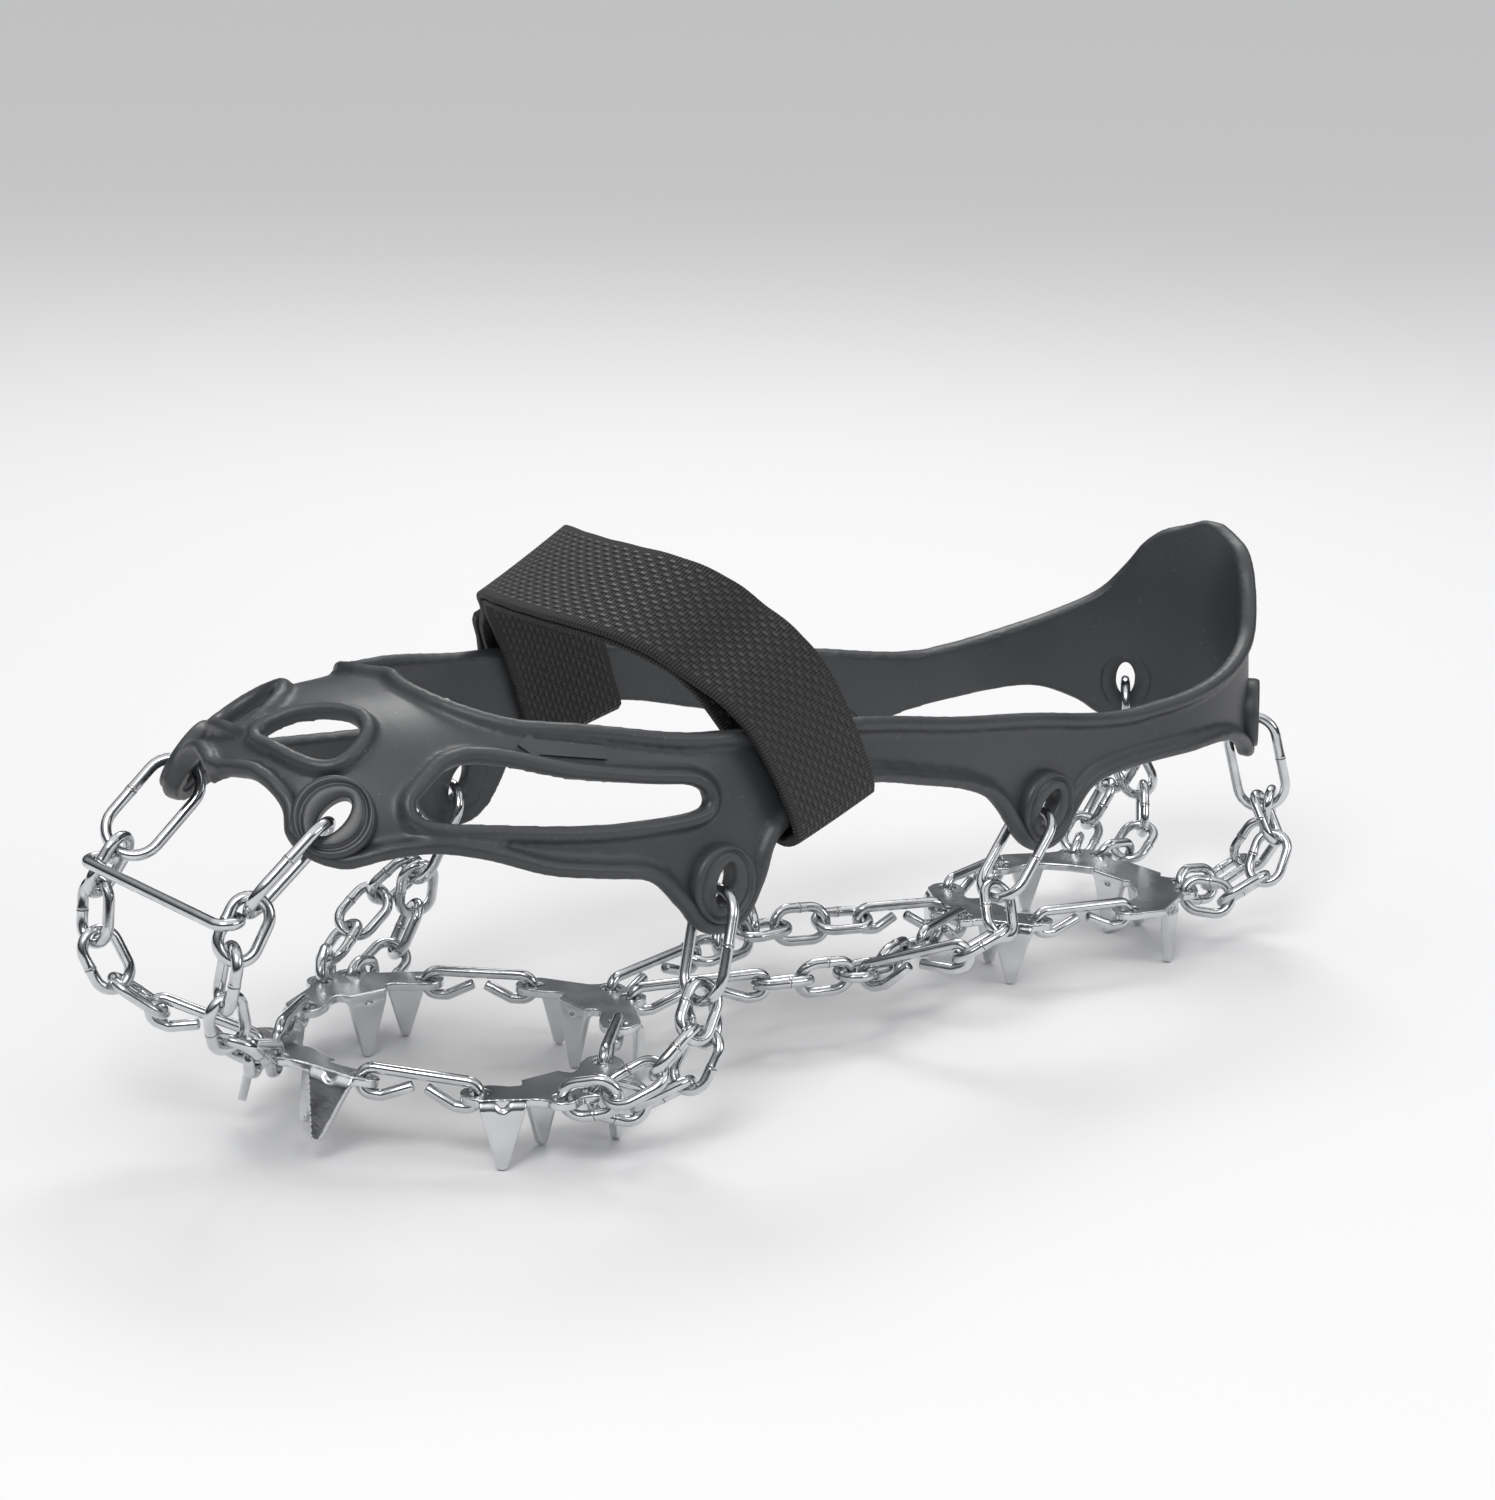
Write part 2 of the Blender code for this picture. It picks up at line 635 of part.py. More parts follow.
def left_side():
    """Wire pieces of the left side: name to (kind, points or run data, origin)."""
    pieces = {}
    up = Vector((0.0, 0.0, 1.0))

    # toe: eyelet link, link that holds the bar, three links, connector to the toe plate's ear
    front = EyeLink("front")
    pieces["eye_link_front"] = ("oval", front.points(), front.start)
    toe = front.strand(0, toe_chain_low(), 4)
    turns = CHAINS["front"]["turns"][0]
    pieces["toe_chain_upper"] = ("run", (toe[0:2], front.normal, turns[:1], (LOOSE, LOOSE)), toe[0])
    pieces["toe_chain_lower"] = ("run", (toe[1:5], front.normal, turns[1:], (LOOSE, LOOSE)), toe[1])
    ear = plate_hole("plate_toe", EAR_OFFSET, EAR_ROW)
    apex = toe[4] - (ear - toe[4]).normalized() * (LOOSE + HOOK_SLACK)
    pieces["connector_toe"] = ("hook", (apex, ear, up), toe[4])

    # middle: eyelet link and two strands to the side plate's ears
    mid = EyeLink("mid")
    pieces["eye_link_mid"] = ("oval", mid.points(), mid.start)
    for index, (name, ear_u) in enumerate((("rear", EAR_OFFSET), ("front", -EAR_OFFSET))):
        joints = mid.strand(index, plate_hole("plate_side_left", ear_u, EAR_ROW), 4)
        turns = CHAINS["mid"]["turns"][index]
        pieces["mid_strand_" + name] = ("run", (joints, mid.normal, turns, (LOOSE, 0.0)), joints[0])

    # long chain from the ball plate to the heel plate
    half = Vector((0.0, LINK_PITCH / 2.0, 0.0))
    front_end, back_end = JUNCTION - half, JUNCTION + half
    ball_ear = plate_hole("plate_ball", -EAR_OFFSET, EAR_ROW)
    heel_ear = plate_hole("plate_heel", EAR_OFFSET, EAR_ROW)
    forward = (ball_ear - front_end).normalized()
    backward = (heel_ear - back_end).normalized()
    joints = [front_end + forward * (LINK_PITCH * n) for n in (2, 1, 0)]
    pieces["long_chain_front"] = ("run", (joints, up, [75.0, 15.0], (LOOSE, LOOSE)), joints[0])
    pieces["connector_ball"] = ("hook", (ball_ear, joints[0] - forward * LOOSE, up), ball_ear)
    pieces["junction_link"] = ("run", ([front_end, back_end], up, [90.0], (LOOSE, LOOSE)), front_end)
    joints = [back_end + backward * (LINK_PITCH * n) for n in (0, 1, 2)]
    pieces["long_chain_rear"] = ("run", (joints, up, [15.0, 75.0], (LOOSE, LOOSE)), joints[0])
    pieces["connector_heel"] = ("hook", (joints[2] - backward * LOOSE, heel_ear, up), joints[2])

    # arch branch: eyelet link, two links, connector on the junction link
    arch = EyeLink("arch")
    pieces["eye_link_arch"] = ("oval", arch.points(), arch.start)
    leg = JUNCTION + Vector(((LINK_WIDTH - WIRE) / 2.0, 0.0, 0.0))
    edge = arch.hole + Vector(CHAINS["arch"]["reach"])
    outward = (edge - leg).normalized()
    joints = arch.strand(0, edge, 2)
    turns = CHAINS["arch"]["turns"][0]
    pieces["branch_chain"] = ("run", (joints, arch.normal, turns, (LOOSE, LOOSE)), joints[0])
    ends = (edge + outward * (LOOSE + HOOK_SLACK), leg - outward * (WIRE + GAP + HOOK_SLACK / 2.0))
    pieces["connector_branch"] = ("hook", (ends[0], ends[1], up), edge)

    # rear: eyelet link and two strands to the rear plate's ears
    rear = EyeLink("rear")
    pieces["eye_link_rear"] = ("oval", rear.points(), rear.start)
    for index, (name, place) in enumerate((("inner", REAR_EARS[0]), ("outer", REAR_EARS[1]))):
        joints = rear.strand(index, plate_hole("plate_rear", -place[0], place[1]), 4)
        turns = CHAINS["rear"]["turns"][index]
        pieces["rear_strand_" + name] = ("run", (joints, rear.normal, turns, (LOOSE, 0.0)), joints[0])

    # connectors between plates
    for name, first, second in (
        ("connector_front", ("plate_toe", ARM_OFFSET, ARM_ROW), ("plate_side_left", -ARM_OFFSET, ARM_ROW)),
        ("connector_back", ("plate_side_left", ARM_OFFSET, ARM_ROW), ("plate_ball", -ARM_OFFSET, ARM_ROW)),
        ("connector_rear", ("plate_heel", ARM_OFFSET, ARM_ROW), ("plate_rear", -REAR_ARM, 0.0)),
    ):
        start, end = plate_hole(*first), plate_hole(*second)
        pieces[name] = ("hook", (start, end, plate_up(first[0]) + plate_up(second[0])), start)
    return pieces


def build_chains():
    for name, (kind, data, origin) in left_side().items():
        if kind == "oval":
            mesh = wire_mesh(data, closed=True)
        elif kind == "run":
            mesh = run_mesh(*data)
        else:
            mesh = wire_mesh(connector_points(*data))
        right = flip_mesh(mesh)
        add_node(name + "_left", mesh, "wire", origin)
        add_node(name + "_right", right, "wire", mirrored(origin, -1.0))


def bar_points():
    """Toe bar: a straight wire with a small hook at each end round the upper toe chain."""
    front = EyeLink("front")
    toe = front.strand(0, toe_chain_low(), 4)
    side = turned_side(toe[0], toe[1], front.normal, CHAINS["front"]["turns"][0][0])
    middle = toe[0].lerp(toe[1], 0.5)
    reach = (LINK_WIDTH - WIRE) / 2.0
    leg = min((middle + side * reach, middle - side * reach), key=lambda point: point.x)
    inward = Vector((-1.0, 0.0, 0.0))
    centre = leg
    forward = Vector((0.0, -1.0, 0.0))
    hook = arc(centre, inward, forward, HOOK_RADIUS, 80.0, 280.0, 8)
    left = [point.copy() for point in reversed(hook)]
    right = [mirrored(point, -1.0) for point in hook]
    return left + right, leg


def build_bar():
    points, leg = bar_points()
    add_node("toe_bar", wire_mesh(points), "wire", leg)


def build_plates():
    small = plate_mesh(SMALL_HALF, SMALL_HOLES, SMALL_SPIKES)
    rear = plate_mesh(REAR_HALF, REAR_HOLES, REAR_SPIKES)
    for name, place in PLATES.items():
        mesh = (rear if name == "plate_rear" else small).copy()
        mesh.transform(place)
        add_node(name, mesh, "plate", place.translation.copy())


# ---------------------------------------------------------------- strap and ring

STRAP_TOP = (-52.0, 90.0)
STRAP_LOW = flank(-16.5, 50.0)
STRAP_RUN = 125.0  # millimetres for the whole share, at the pace it has near the lower edge
STRAP_BEND = 0.3  # share over which the strap swings round at the crest
UNDER = -5.1  # offset of the layer that passes inside the harness
OVER = 3.0  # offset of the layer that passes outside it
RING_SPAN = RING_HEIGHT - RING_WIRE
BAR_LOW = (4.4, -4.7)
BAR_HIGH = (4.2, RING_SPAN + BAR_LOW[1])
STRAP_HUG = RING_WIRE / 2.0 + STRAP_THICK / 2.0 + 1.2


def strap_point(side, share, across, offset, drop=0.0):
    """Point of the strap: share of its way down one side, distance across, and offsets from the last."""
    run = (math.hypot(share, STRAP_BEND) - STRAP_BEND) / (math.hypot(1.0, STRAP_BEND) - STRAP_BEND)
    station = STRAP_TOP[0] + (STRAP_LOW[0] - STRAP_TOP[0]) * run + (0.89 + 0.03 * share) * across
    degrees = STRAP_TOP[1] + (STRAP_LOW[1] - STRAP_TOP[1]) * share + 0.07 * share * across
    _, upward = last_frame(station, degrees)
    return mirrored(on_last(station, degrees, offset) - upward * drop, side)


def layer_offset(share, low, high):
    """The layers part where the strap meets the harness and lie together above it."""
    degrees = STRAP_TOP[1] + (STRAP_LOW[1] - STRAP_TOP[1]) * share
    return low + (high - low) * smooth_step((degrees - 33.0) / 12.0)


def share_at(height):
    return 1.0 - height / STRAP_RUN


def strap_rows():
    """Rows of the strap from the end under the ring, over the instep twice, to the ring."""
    rows = [(-1.0, 1.0, 6.0, 1.0), (-1.0, 1.0, 3.8, 1.4), (-1.0, 1.0, 0.6, 1.4), (-1.0, 1.0, -2.2, 1.4),
            (-1.0, 1.0, -4.3, 0.8), (-1.0, 1.0, -5.0, -0.6)]
    shares = [0.955, 0.86, 0.76, 0.66, 0.56, 0.46, 0.34, 0.22, 0.11]
    rows += [(-1.0, share, layer_offset(share, UNDER, -3.4), 0.0) for share in shares]
    rows += [(1.0, 0.0, -3.4, 0.0)]
    rows += [(1.0, share, layer_offset(share, UNDER, -3.4), 0.0) for share in reversed(shares)]
    rows += [(1.0, 1.0, -4.8, 0.4), (1.0, 1.0, -3.4, 1.6), (1.0, 1.0, -1.0, 2.1), (1.0, 1.0, 1.2, 1.6),
             (1.0, 1.0, 2.7, 0.4)]
    rows += [(1.0, share, layer_offset(share, OVER, -1.4), 0.0) for share in shares]
    rows += [(1.0, 0.0, -1.4, 0.0)]
    rows += [(-1.0, share, layer_offset(share, OVER, -1.4), 0.0) for share in reversed(shares[2:])]
    turn = [math.radians(angle) for angle in range(180, 361, 36)]
    rows += [(-1.0, share_at(BAR_HIGH[1] + 6.0), BAR_HIGH[0] - STRAP_HUG + 0.2, 0.0)]
    rows += [(-1.0, share_at(BAR_HIGH[1]), BAR_HIGH[0] + STRAP_HUG * math.cos(a), -STRAP_HUG * math.sin(a))
             for a in turn]
    rows += [(-1.0, share_at(BAR_HIGH[1] + 5.0), BAR_HIGH[0] + STRAP_HUG - 0.8, 0.0),
             (-1.0, share_at(BAR_HIGH[1] + 10.0), BAR_HIGH[0] + STRAP_HUG - 1.6, 0.0)]
    return rows


def tab_rows():
    """Rows of the free end, from the ring up over the outer layer."""
    rows = [(-1.0, 1.0, 7.3, 0.4), (-1.0, 1.0, 8.8, -0.8)]
    for height, offset in ((4.0, 9.6), (10.0, 9.7), (16.0, 9.0), (20.5, 8.1), (26.0, 6.6), (32.0, 5.5)):
        rows.append((-1.0, share_at(height), offset, 0.0))
    for height in (38.0, 44.0):
        rows.append((-1.0, share_at(height), layer_offset(share_at(height), OVER, -1.4) + 2.2, 0.0))
    return rows


def strap_mesh(rows):
    bm = bmesh.new()
    bmesh.ops.create_grid(bm, x_segments=len(rows) - 1, y_segments=3, size=1.0)
    for vertex in bm.verts:
        row = rows[round((vertex.co.x + 1.0) / 2.0 * (len(rows) - 1))]
        side, share, offset, drop = row
        across = vertex.co.y * STRAP_WIDTH / 2.0
        vertex.co = strap_point(side, share, across, offset, drop)
    sheet = bpy.data.meshes.new("strap")
    bm.to_mesh(sheet)
    bm.free()
    band = scratch_object("strap", sheet)
    solid = band.modifiers.new("Solidify", "SOLIDIFY")
    solid.thickness = STRAP_THICK
    solid.offset = 0.0
    solid.use_even_offset = False
    return baked_mesh(band)


def ring_mesh():
    low = strap_point(-1.0, 1.0, 0.0, BAR_LOW[0], -BAR_LOW[1])
    high = strap_point(-1.0, share_at(BAR_HIGH[1]), 0.0, BAR_HIGH[0])
    across = (strap_point(-1.0, 1.0, 6.0, 4.0) - strap_point(-1.0, 1.0, -6.0, 4.0)).normalized()
    upward = high - low
    upward = (upward - across * upward.dot(across)).normalized()
    middle = (low + high) / 2.0
    half_x, half_y, corner = (RING_LENGTH - RING_WIRE) / 2.0, RING_SPAN / 2.0, 4.0
    points = []
    for quarter, (sx, sy) in enumerate(((1, 1), (-1, 1), (-1, -1), (1, -1))):
        centre = middle + across * (sx * (half_x - corner)) + upward * (sy * (half_y - corner))
        points += arc(centre, across, upward, corner, 90.0 * quarter, 90.0 * quarter + 90.0, 3)
    return wire_mesh(points, RING_WIRE / 2.0, closed=True), middle


def build_strap():
    add_node("strap", strap_mesh(strap_rows()), "webbing", strap_point(1.0, 0.0, 0.0, -3.4))
    add_node("strap_tab", strap_mesh(tab_rows()), "webbing", strap_point(-1.0, 1.0, 0.0, 7.1, 0.2))
    ring, middle = ring_mesh()
    add_node("strap_ring", ring, "nickel", middle)


# ---------------------------------------------------------------- main

clear_scene()
NODES = make_collection("shoe_ice_cleats")
CUTTERS = make_collection("cutters", hidden=True)
add_node("harness", harness_mesh(), "rubber")
build_plates()
build_chains()
build_bar()
build_strap()
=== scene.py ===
# %% [markdown]
# # A shoe ice cleat, as worn on a boot
#
# A stretched rubber harness carries four pairs of eyelet links. Welded chains and hooked wire
# connectors hang from them and hold six bent steel plates with spikes under the sole. A webbing
# strap with a nickel ring goes twice over the instep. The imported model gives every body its
# place; here each piece is made again with the detail that the real one shows.

# %% Frame and tools
import json
import math

import bmesh
import bpy
from mathutils import Matrix, Vector

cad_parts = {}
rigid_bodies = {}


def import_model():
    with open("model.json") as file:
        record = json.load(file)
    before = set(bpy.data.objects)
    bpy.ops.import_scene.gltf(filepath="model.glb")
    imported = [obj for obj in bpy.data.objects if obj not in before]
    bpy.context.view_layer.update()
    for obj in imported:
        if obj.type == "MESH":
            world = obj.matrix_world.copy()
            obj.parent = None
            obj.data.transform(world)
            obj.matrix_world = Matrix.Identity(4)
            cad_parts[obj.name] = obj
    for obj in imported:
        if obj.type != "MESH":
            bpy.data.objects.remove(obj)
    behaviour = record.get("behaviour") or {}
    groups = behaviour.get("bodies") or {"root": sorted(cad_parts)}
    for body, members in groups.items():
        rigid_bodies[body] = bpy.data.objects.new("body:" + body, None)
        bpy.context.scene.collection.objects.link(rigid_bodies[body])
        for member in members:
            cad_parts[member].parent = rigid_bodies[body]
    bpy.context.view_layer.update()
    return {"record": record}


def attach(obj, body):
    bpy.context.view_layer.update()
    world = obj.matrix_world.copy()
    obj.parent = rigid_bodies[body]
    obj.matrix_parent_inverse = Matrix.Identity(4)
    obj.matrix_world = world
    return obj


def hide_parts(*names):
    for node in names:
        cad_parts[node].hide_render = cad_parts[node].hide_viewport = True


for leftover in list(bpy.data.objects):
    bpy.data.objects.remove(leftover, do_unlink=True)

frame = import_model()
bodies = frame["record"]["behaviour"]["bodies"]
BODY = {node: body for body, nodes in bodies.items() for node in nodes}
MM = 0.001

# %% [markdown]
# Every piece below is worked out in millimetres in the model's own frame, with +X to the wearer's
# left, +Y to the heel and the plates' upper faces at z = 0. One helper turns a finished bmesh into
# an object at the origin, gives it its finish, hides the CAD node it stands for and lets it ride.

# %% Turning a bmesh into a piece
PIECES = []
SIDES = (("left", 1.0), ("right", -1.0))


def new_object(name, data):
    made = bpy.data.objects.new(name, data)
    bpy.context.scene.collection.objects.link(made)
    return made


def make_piece(name, bm, finish, slot, nodes=(), body=None, smooth=True):
    """A finished bmesh in millimetres becomes one object at the origin, riding on its body."""
    name += "_made" if name in BODY else ""
    bmesh.ops.scale(bm, vec=(MM, MM, MM), verts=bm.verts)
    for face in bm.faces:
        face.smooth = smooth
    mesh = bpy.data.meshes.new(name)
    bm.to_mesh(mesh)
    bm.free()
    for material in finish if isinstance(finish, list) else [finish]:
        mesh.materials.append(material)
    piece = new_object(name, mesh)
    if nodes:
        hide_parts(*nodes)
    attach(piece, body or BODY[nodes[0]])
    PIECES.append(piece)
    return piece


def both_sides(name, bm, finish, slot, nodes=(), number="", **options):
    """One piece for the left side and its mirror image for the right."""
    right = bm.copy()
    bmesh.ops.scale(right, vec=(-1.0, 1.0, 1.0), verts=right.verts)
    bmesh.ops.recalc_face_normals(right, faces=right.faces)
    for (label, _), half in zip(SIDES, (bm, right)):
        make_piece(f"{name}_{label}{number}", half, finish, slot,
                   [f"{node}_{label}" for node in nodes], **options)


def evaluated_mesh(thing):
    """The mesh that an object's modifiers or its bevelled curve give."""
    bpy.context.view_layer.update()
    graph = bpy.context.evaluated_depsgraph_get()
    return bpy.data.meshes.new_from_object(thing.evaluated_get(graph))


def bake_modifiers(piece):
    mesh = evaluated_mesh(piece)
    piece.modifiers.clear()
    piece.data = mesh


def mirrored(vector, side):
    return Vector((vector.x * side, vector.y, vector.z))


def square_to(along, vector):
    """The part of a vector that is square to a unit one, made a unit vector too."""
    return (vector - along * vector.dot(along)).normalized()


def catmull_rom(a, b, c, d, t):
    """Smooth curve from b to c at share t, led by a before it and d after it."""
    return 0.5 * (2.0 * b + (c - a) * t + (2.0 * a - 5.0 * b + 4.0 * c - d) * t * t
                  + (3.0 * b - a - 3.0 * c + d) * t ** 3)


def verts_of(items):
    return [item for item in items if isinstance(item, bmesh.types.BMVert)]

# %% [markdown]
# ## Finishes
#
# The harness is satin dark grey rubber with a fine moulded grain and a few dust specks. The wire
# is bright and smooth with a straw tint at each butt weld. The plates are pressed sheet, a little
# duller, with fine rolling lines. The strap is a polyester basket weave. Each finish is made from
# noise and waves on Object coordinates, or on the strap's own UV map, so it stays put as pieces move.

# %% Helper for node materials
def new_finish(name, colour, metallic, roughness):
    """A Principled material, with its nodes, links and shader at hand."""
    material = bpy.data.materials.new(name)
    material.use_nodes = True
    tree = material.node_tree
    shader = tree.nodes["Principled BSDF"]
    shader.inputs["Base Color"].default_value = (*colour, 1.0)
    shader.inputs["Metallic"].default_value = metallic
    shader.inputs["Roughness"].default_value = roughness
    return material, tree, shader


def wired(tree, kind, inputs, output=0, **settings):
    """A shader node with each input set, or linked where an output is given; returns its output."""
    node = tree.nodes.new("ShaderNode" + kind)
    for key, value in settings.items():
        setattr(node, key, value)
    for key, value in inputs.items():
        if isinstance(value, bpy.types.NodeSocket):
            tree.links.new(value, node.inputs[key])
        else:
            node.inputs[key].default_value = value
    return node.outputs[output]


def noise_on(tree, scale, detail=4.0, stretch=(1.0, 1.0, 1.0)):
    """Noise on Object coordinates, in metres, so scale counts blobs per metre."""
    place = wired(tree, "TexCoord", {}, "Object")
    mapping = wired(tree, "Mapping", {"Scale": stretch, "Vector": place})
    return wired(tree, "TexNoise", {"Scale": scale, "Detail": detail, "Vector": mapping}, "Fac")


def remap(tree, source, low, high, to_low=0.0, to_high=1.0):
    return wired(tree, "MapRange", {"From Min": low, "From Max": high, "To Min": to_low,
                                    "To Max": to_high, "Value": source}, "Result")


def mix_colours(tree, factor, first, second):
    """Blend of two colours, each a fixed colour or another node's output."""
    first, second = ((*c, 1.0) if isinstance(c, tuple) else c for c in (first, second))
    return wired(tree, "Mix", {"Factor": factor, 6: first, 7: second}, 2, data_type="RGBA")


def vary(tree, shader, colour, roughness):
    tree.links.new(colour, shader.inputs["Base Color"])
    tree.links.new(roughness, shader.inputs["Roughness"])


def add_bump(tree, shader, height, distance, strength=1.0):
    bump = wired(tree, "Bump", {"Distance": distance, "Strength": strength, "Height": height},
                 "Normal")
    tree.links.new(bump, shader.inputs["Normal"])


# %% [markdown]
# The rubber needs three scales: a broad, faint change of tone where it is stretched, a grain of
# about a third of a millimetre left by the mould, and sparse pale specks of dust that only show
# where a very fine noise is at its highest.

# %% Rubber
rubber, tree, shader = new_finish("harness_rubber", (0.040, 0.042, 0.045), 0.0, 0.42)
tone = noise_on(tree, 28.0, 3.0)
grain = noise_on(tree, 2600.0, 3.0)
dust = remap(tree, noise_on(tree, 1500.0, 2.0), 0.70, 0.78)
grey = mix_colours(tree, remap(tree, tone, 0.3, 0.7), (0.032, 0.034, 0.037), (0.050, 0.053, 0.056))
dusty = mix_colours(tree, remap(tree, dust, 0.0, 1.0, 0.0, 0.5), grey, (0.24, 0.24, 0.23))
vary(tree, shader, dusty, remap(tree, tone, 0.3, 0.7, 0.36, 0.50))
shader.inputs["Specular IOR Level"].default_value = 0.55
add_bump(tree, shader, grain, 0.00004, 0.7)

# %% [markdown]
# Bright wire is almost a mirror, but drawing it through a die leaves faint streaks, and handling
# leaves dull patches. The welds get the same steel with a warm tint and a rougher skin.

# %% Wire, weld and nickel
def bright_metal(name, colour, tint, rough, streak):
    material, tree, shader = new_finish(name, colour, 1.0, rough)
    patches = noise_on(tree, 240.0, 4.0)
    fine = noise_on(tree, 4200.0, 3.0)
    tone = mix_colours(tree, remap(tree, patches, 0.35, 0.7), colour, tint)
    vary(tree, shader, tone, remap(tree, patches, 0.3, 0.75, rough * 0.75, rough * 1.5))
    add_bump(tree, shader, fine, streak, 0.6)
    return material


wire_steel = bright_metal("wire_steel", (0.66, 0.67, 0.68), (0.52, 0.53, 0.55), 0.15, 0.000012)
weld_steel = bright_metal("weld_steel", (0.30, 0.295, 0.285), (0.20, 0.195, 0.19), 0.35, 0.00004)
nickel = bright_metal("ring_nickel", (0.76, 0.74, 0.70), (0.62, 0.60, 0.56), 0.18, 0.000010)

# %% [markdown]
# The plates are blanked from rolled strip. Long stretched noise gives the rolling lines, and a
# coarser noise gives the cloudy galvanised tone that dulls the shine here and there.

# %% Plate steel
plate_steel, tree, shader = new_finish("plate_steel", (0.70, 0.71, 0.72), 1.0, 0.27)
cloud = noise_on(tree, 130.0, 5.0)
lines = noise_on(tree, 900.0, 4.0, (0.15, 2.5, 1.0))
tone = mix_colours(tree, remap(tree, cloud, 0.3, 0.7), (0.60, 0.61, 0.62), (0.70, 0.71, 0.72))
vary(tree, shader, tone, remap(tree, cloud, 0.3, 0.75, 0.14, 0.27))
add_bump(tree, shader, lines, 0.00003, 0.5)

# %% [markdown]
# Webbing is woven from thick warp yarns that float over and under the weft, each column half a
# repeat behind the next. The UV map runs in millimetres across and along the strap: a floor node
# numbers the 1.25 mm columns, a wave along the strap says which yarn is on top, and the crown of
# each yarn gives height and gloss. Its colour is painted light: lighter on the crowns as a painted
# highlight, and darker between the yarns as painted shade. The outer millimetre and a half is a
# ribbed selvage.

# %% Webbing
webbing, tree, shader = new_finish("strap_webbing", (0.016, 0.016, 0.018), 0.0, 0.78)
COLUMN, WARP_REPEAT, WEFT_REPEAT = 1.25, 3.0, 1.5
STRAP_WIDTH, STRAP_THICK = 25.0, 1.6
uv = tree.nodes.new("ShaderNodeUVMap")
split = tree.nodes.new("ShaderNodeSeparateXYZ")
tree.links.new(uv.outputs["UV"], split.inputs["Vector"])


def math_node(operation, first, second=0.0):
    return wired(tree, "Math", {0: first, 1: second}, operation=operation)


def ripple(source, pitch):
    """Sine of a coordinate in millimetres, one full wave to each pitch."""
    return math_node("SINE", math_node("MULTIPLY", source, 2.0 * math.pi / pitch))


across, along = split.outputs["X"], split.outputs["Y"]
column = math_node("FLOOR", math_node("DIVIDE", across, COLUMN))
swap = math_node("COSINE", math_node("MULTIPLY", column, math.pi))
over = remap(tree, math_node("MULTIPLY", ripple(along, WARP_REPEAT), swap), -0.45, 0.45)
under = math_node("SUBTRACT", 1.0, over)
crown_across = math_node("ABSOLUTE", ripple(across, 2.0 * COLUMN))
crown_along = math_node("ABSOLUTE", ripple(along, WEFT_REPEAT))
warp_yarn = math_node("MULTIPLY", over, crown_across)
weft_yarn = math_node("MULTIPLY", math_node("MULTIPLY", under, crown_along), 0.62)
weave = math_node("MAXIMUM", warp_yarn, weft_yarn)
edge = math_node("ABSOLUTE", math_node("SUBTRACT", across, STRAP_WIDTH / 2.0))
ribs = math_node("MULTIPLY", crown_along, 0.6)
pattern = wired(tree, "Mix", {"Factor": remap(tree, edge, 10.9, 11.2), 2: weave, 3: ribs})
# Yarn colour from the weave height: lighter on the crowns as a painted highlight, darker in the gaps as
# painted shade.
yarn_highlight_and_shade = mix_colours(tree, remap(tree, pattern, 0.1, 0.95), (0.003, 0.003, 0.0035),
                   (0.030, 0.030, 0.032))
vary(tree, shader, yarn_highlight_and_shade, remap(tree, pattern, 0.0, 1.0, 0.9, 0.46))
shader.inputs["Sheen Weight"].default_value = 0.06
shader.inputs["Sheen Roughness"].default_value = 0.5
add_bump(tree, shader, pattern, 0.0005)

thread, tree, shader = new_finish("strap_thread", (0.03, 0.03, 0.032), 0.0, 0.55)
add_bump(tree, shader, noise_on(tree, 3000.0), 0.00005)
print("finishes:", len(bpy.data.materials))

# %% [markdown]
# ## The shape the cleat is stretched over
#
# The harness, strap and eyelets all lie on a smooth boot-shaped last that isn't part of the object.
# A place on it is a chart pair: how far along the boot, and how many degrees up from the side to
# the crest. Drawing in that flat chart and wrapping it afterwards keeps every edge a plain curve.

# %% The last
LAST_FLOOR, LAST_POWER = 25.0, 2.4
TOE_END, BALL_Y, WAIST_Y, HEEL_Y, HEEL_END = -152.0, -70.0, 95.0, 100.0, 152.0
BALL_HALF, HEEL_HALF = 50.5, 37.0
VAMP_Y, ANKLE_Y = -105.0, 60.0
TOE_LOW, VAMP_HEIGHT, ANKLE_HEIGHT = 35.0, 81.0, 150.0
HEEL_RUN = 70.0


def smooth_step(value):
    return (1.0 - math.cos(math.pi * min(1.0, max(0.0, value)))) / 2.0


def half_width(y):
    if y < BALL_Y:
        reach = min(1.0, (BALL_Y - y) / (BALL_Y - TOE_END))
        return BALL_HALF * math.sqrt(1.0 - reach * reach)
    return BALL_HALF + (HEEL_HALF - BALL_HALF) * smooth_step((y - BALL_Y) / (WAIST_Y - BALL_Y))


def crest(y):
    if y < VAMP_Y:
        reach = min(1.0, (VAMP_Y - y) / (VAMP_Y - TOE_END))
        return TOE_LOW + (VAMP_HEIGHT - TOE_LOW) * math.sqrt(1.0 - reach * reach)
    return VAMP_HEIGHT + (ANKLE_HEIGHT - VAMP_HEIGHT) * smooth_step((y - VAMP_Y) / (ANKLE_Y - VAMP_Y))


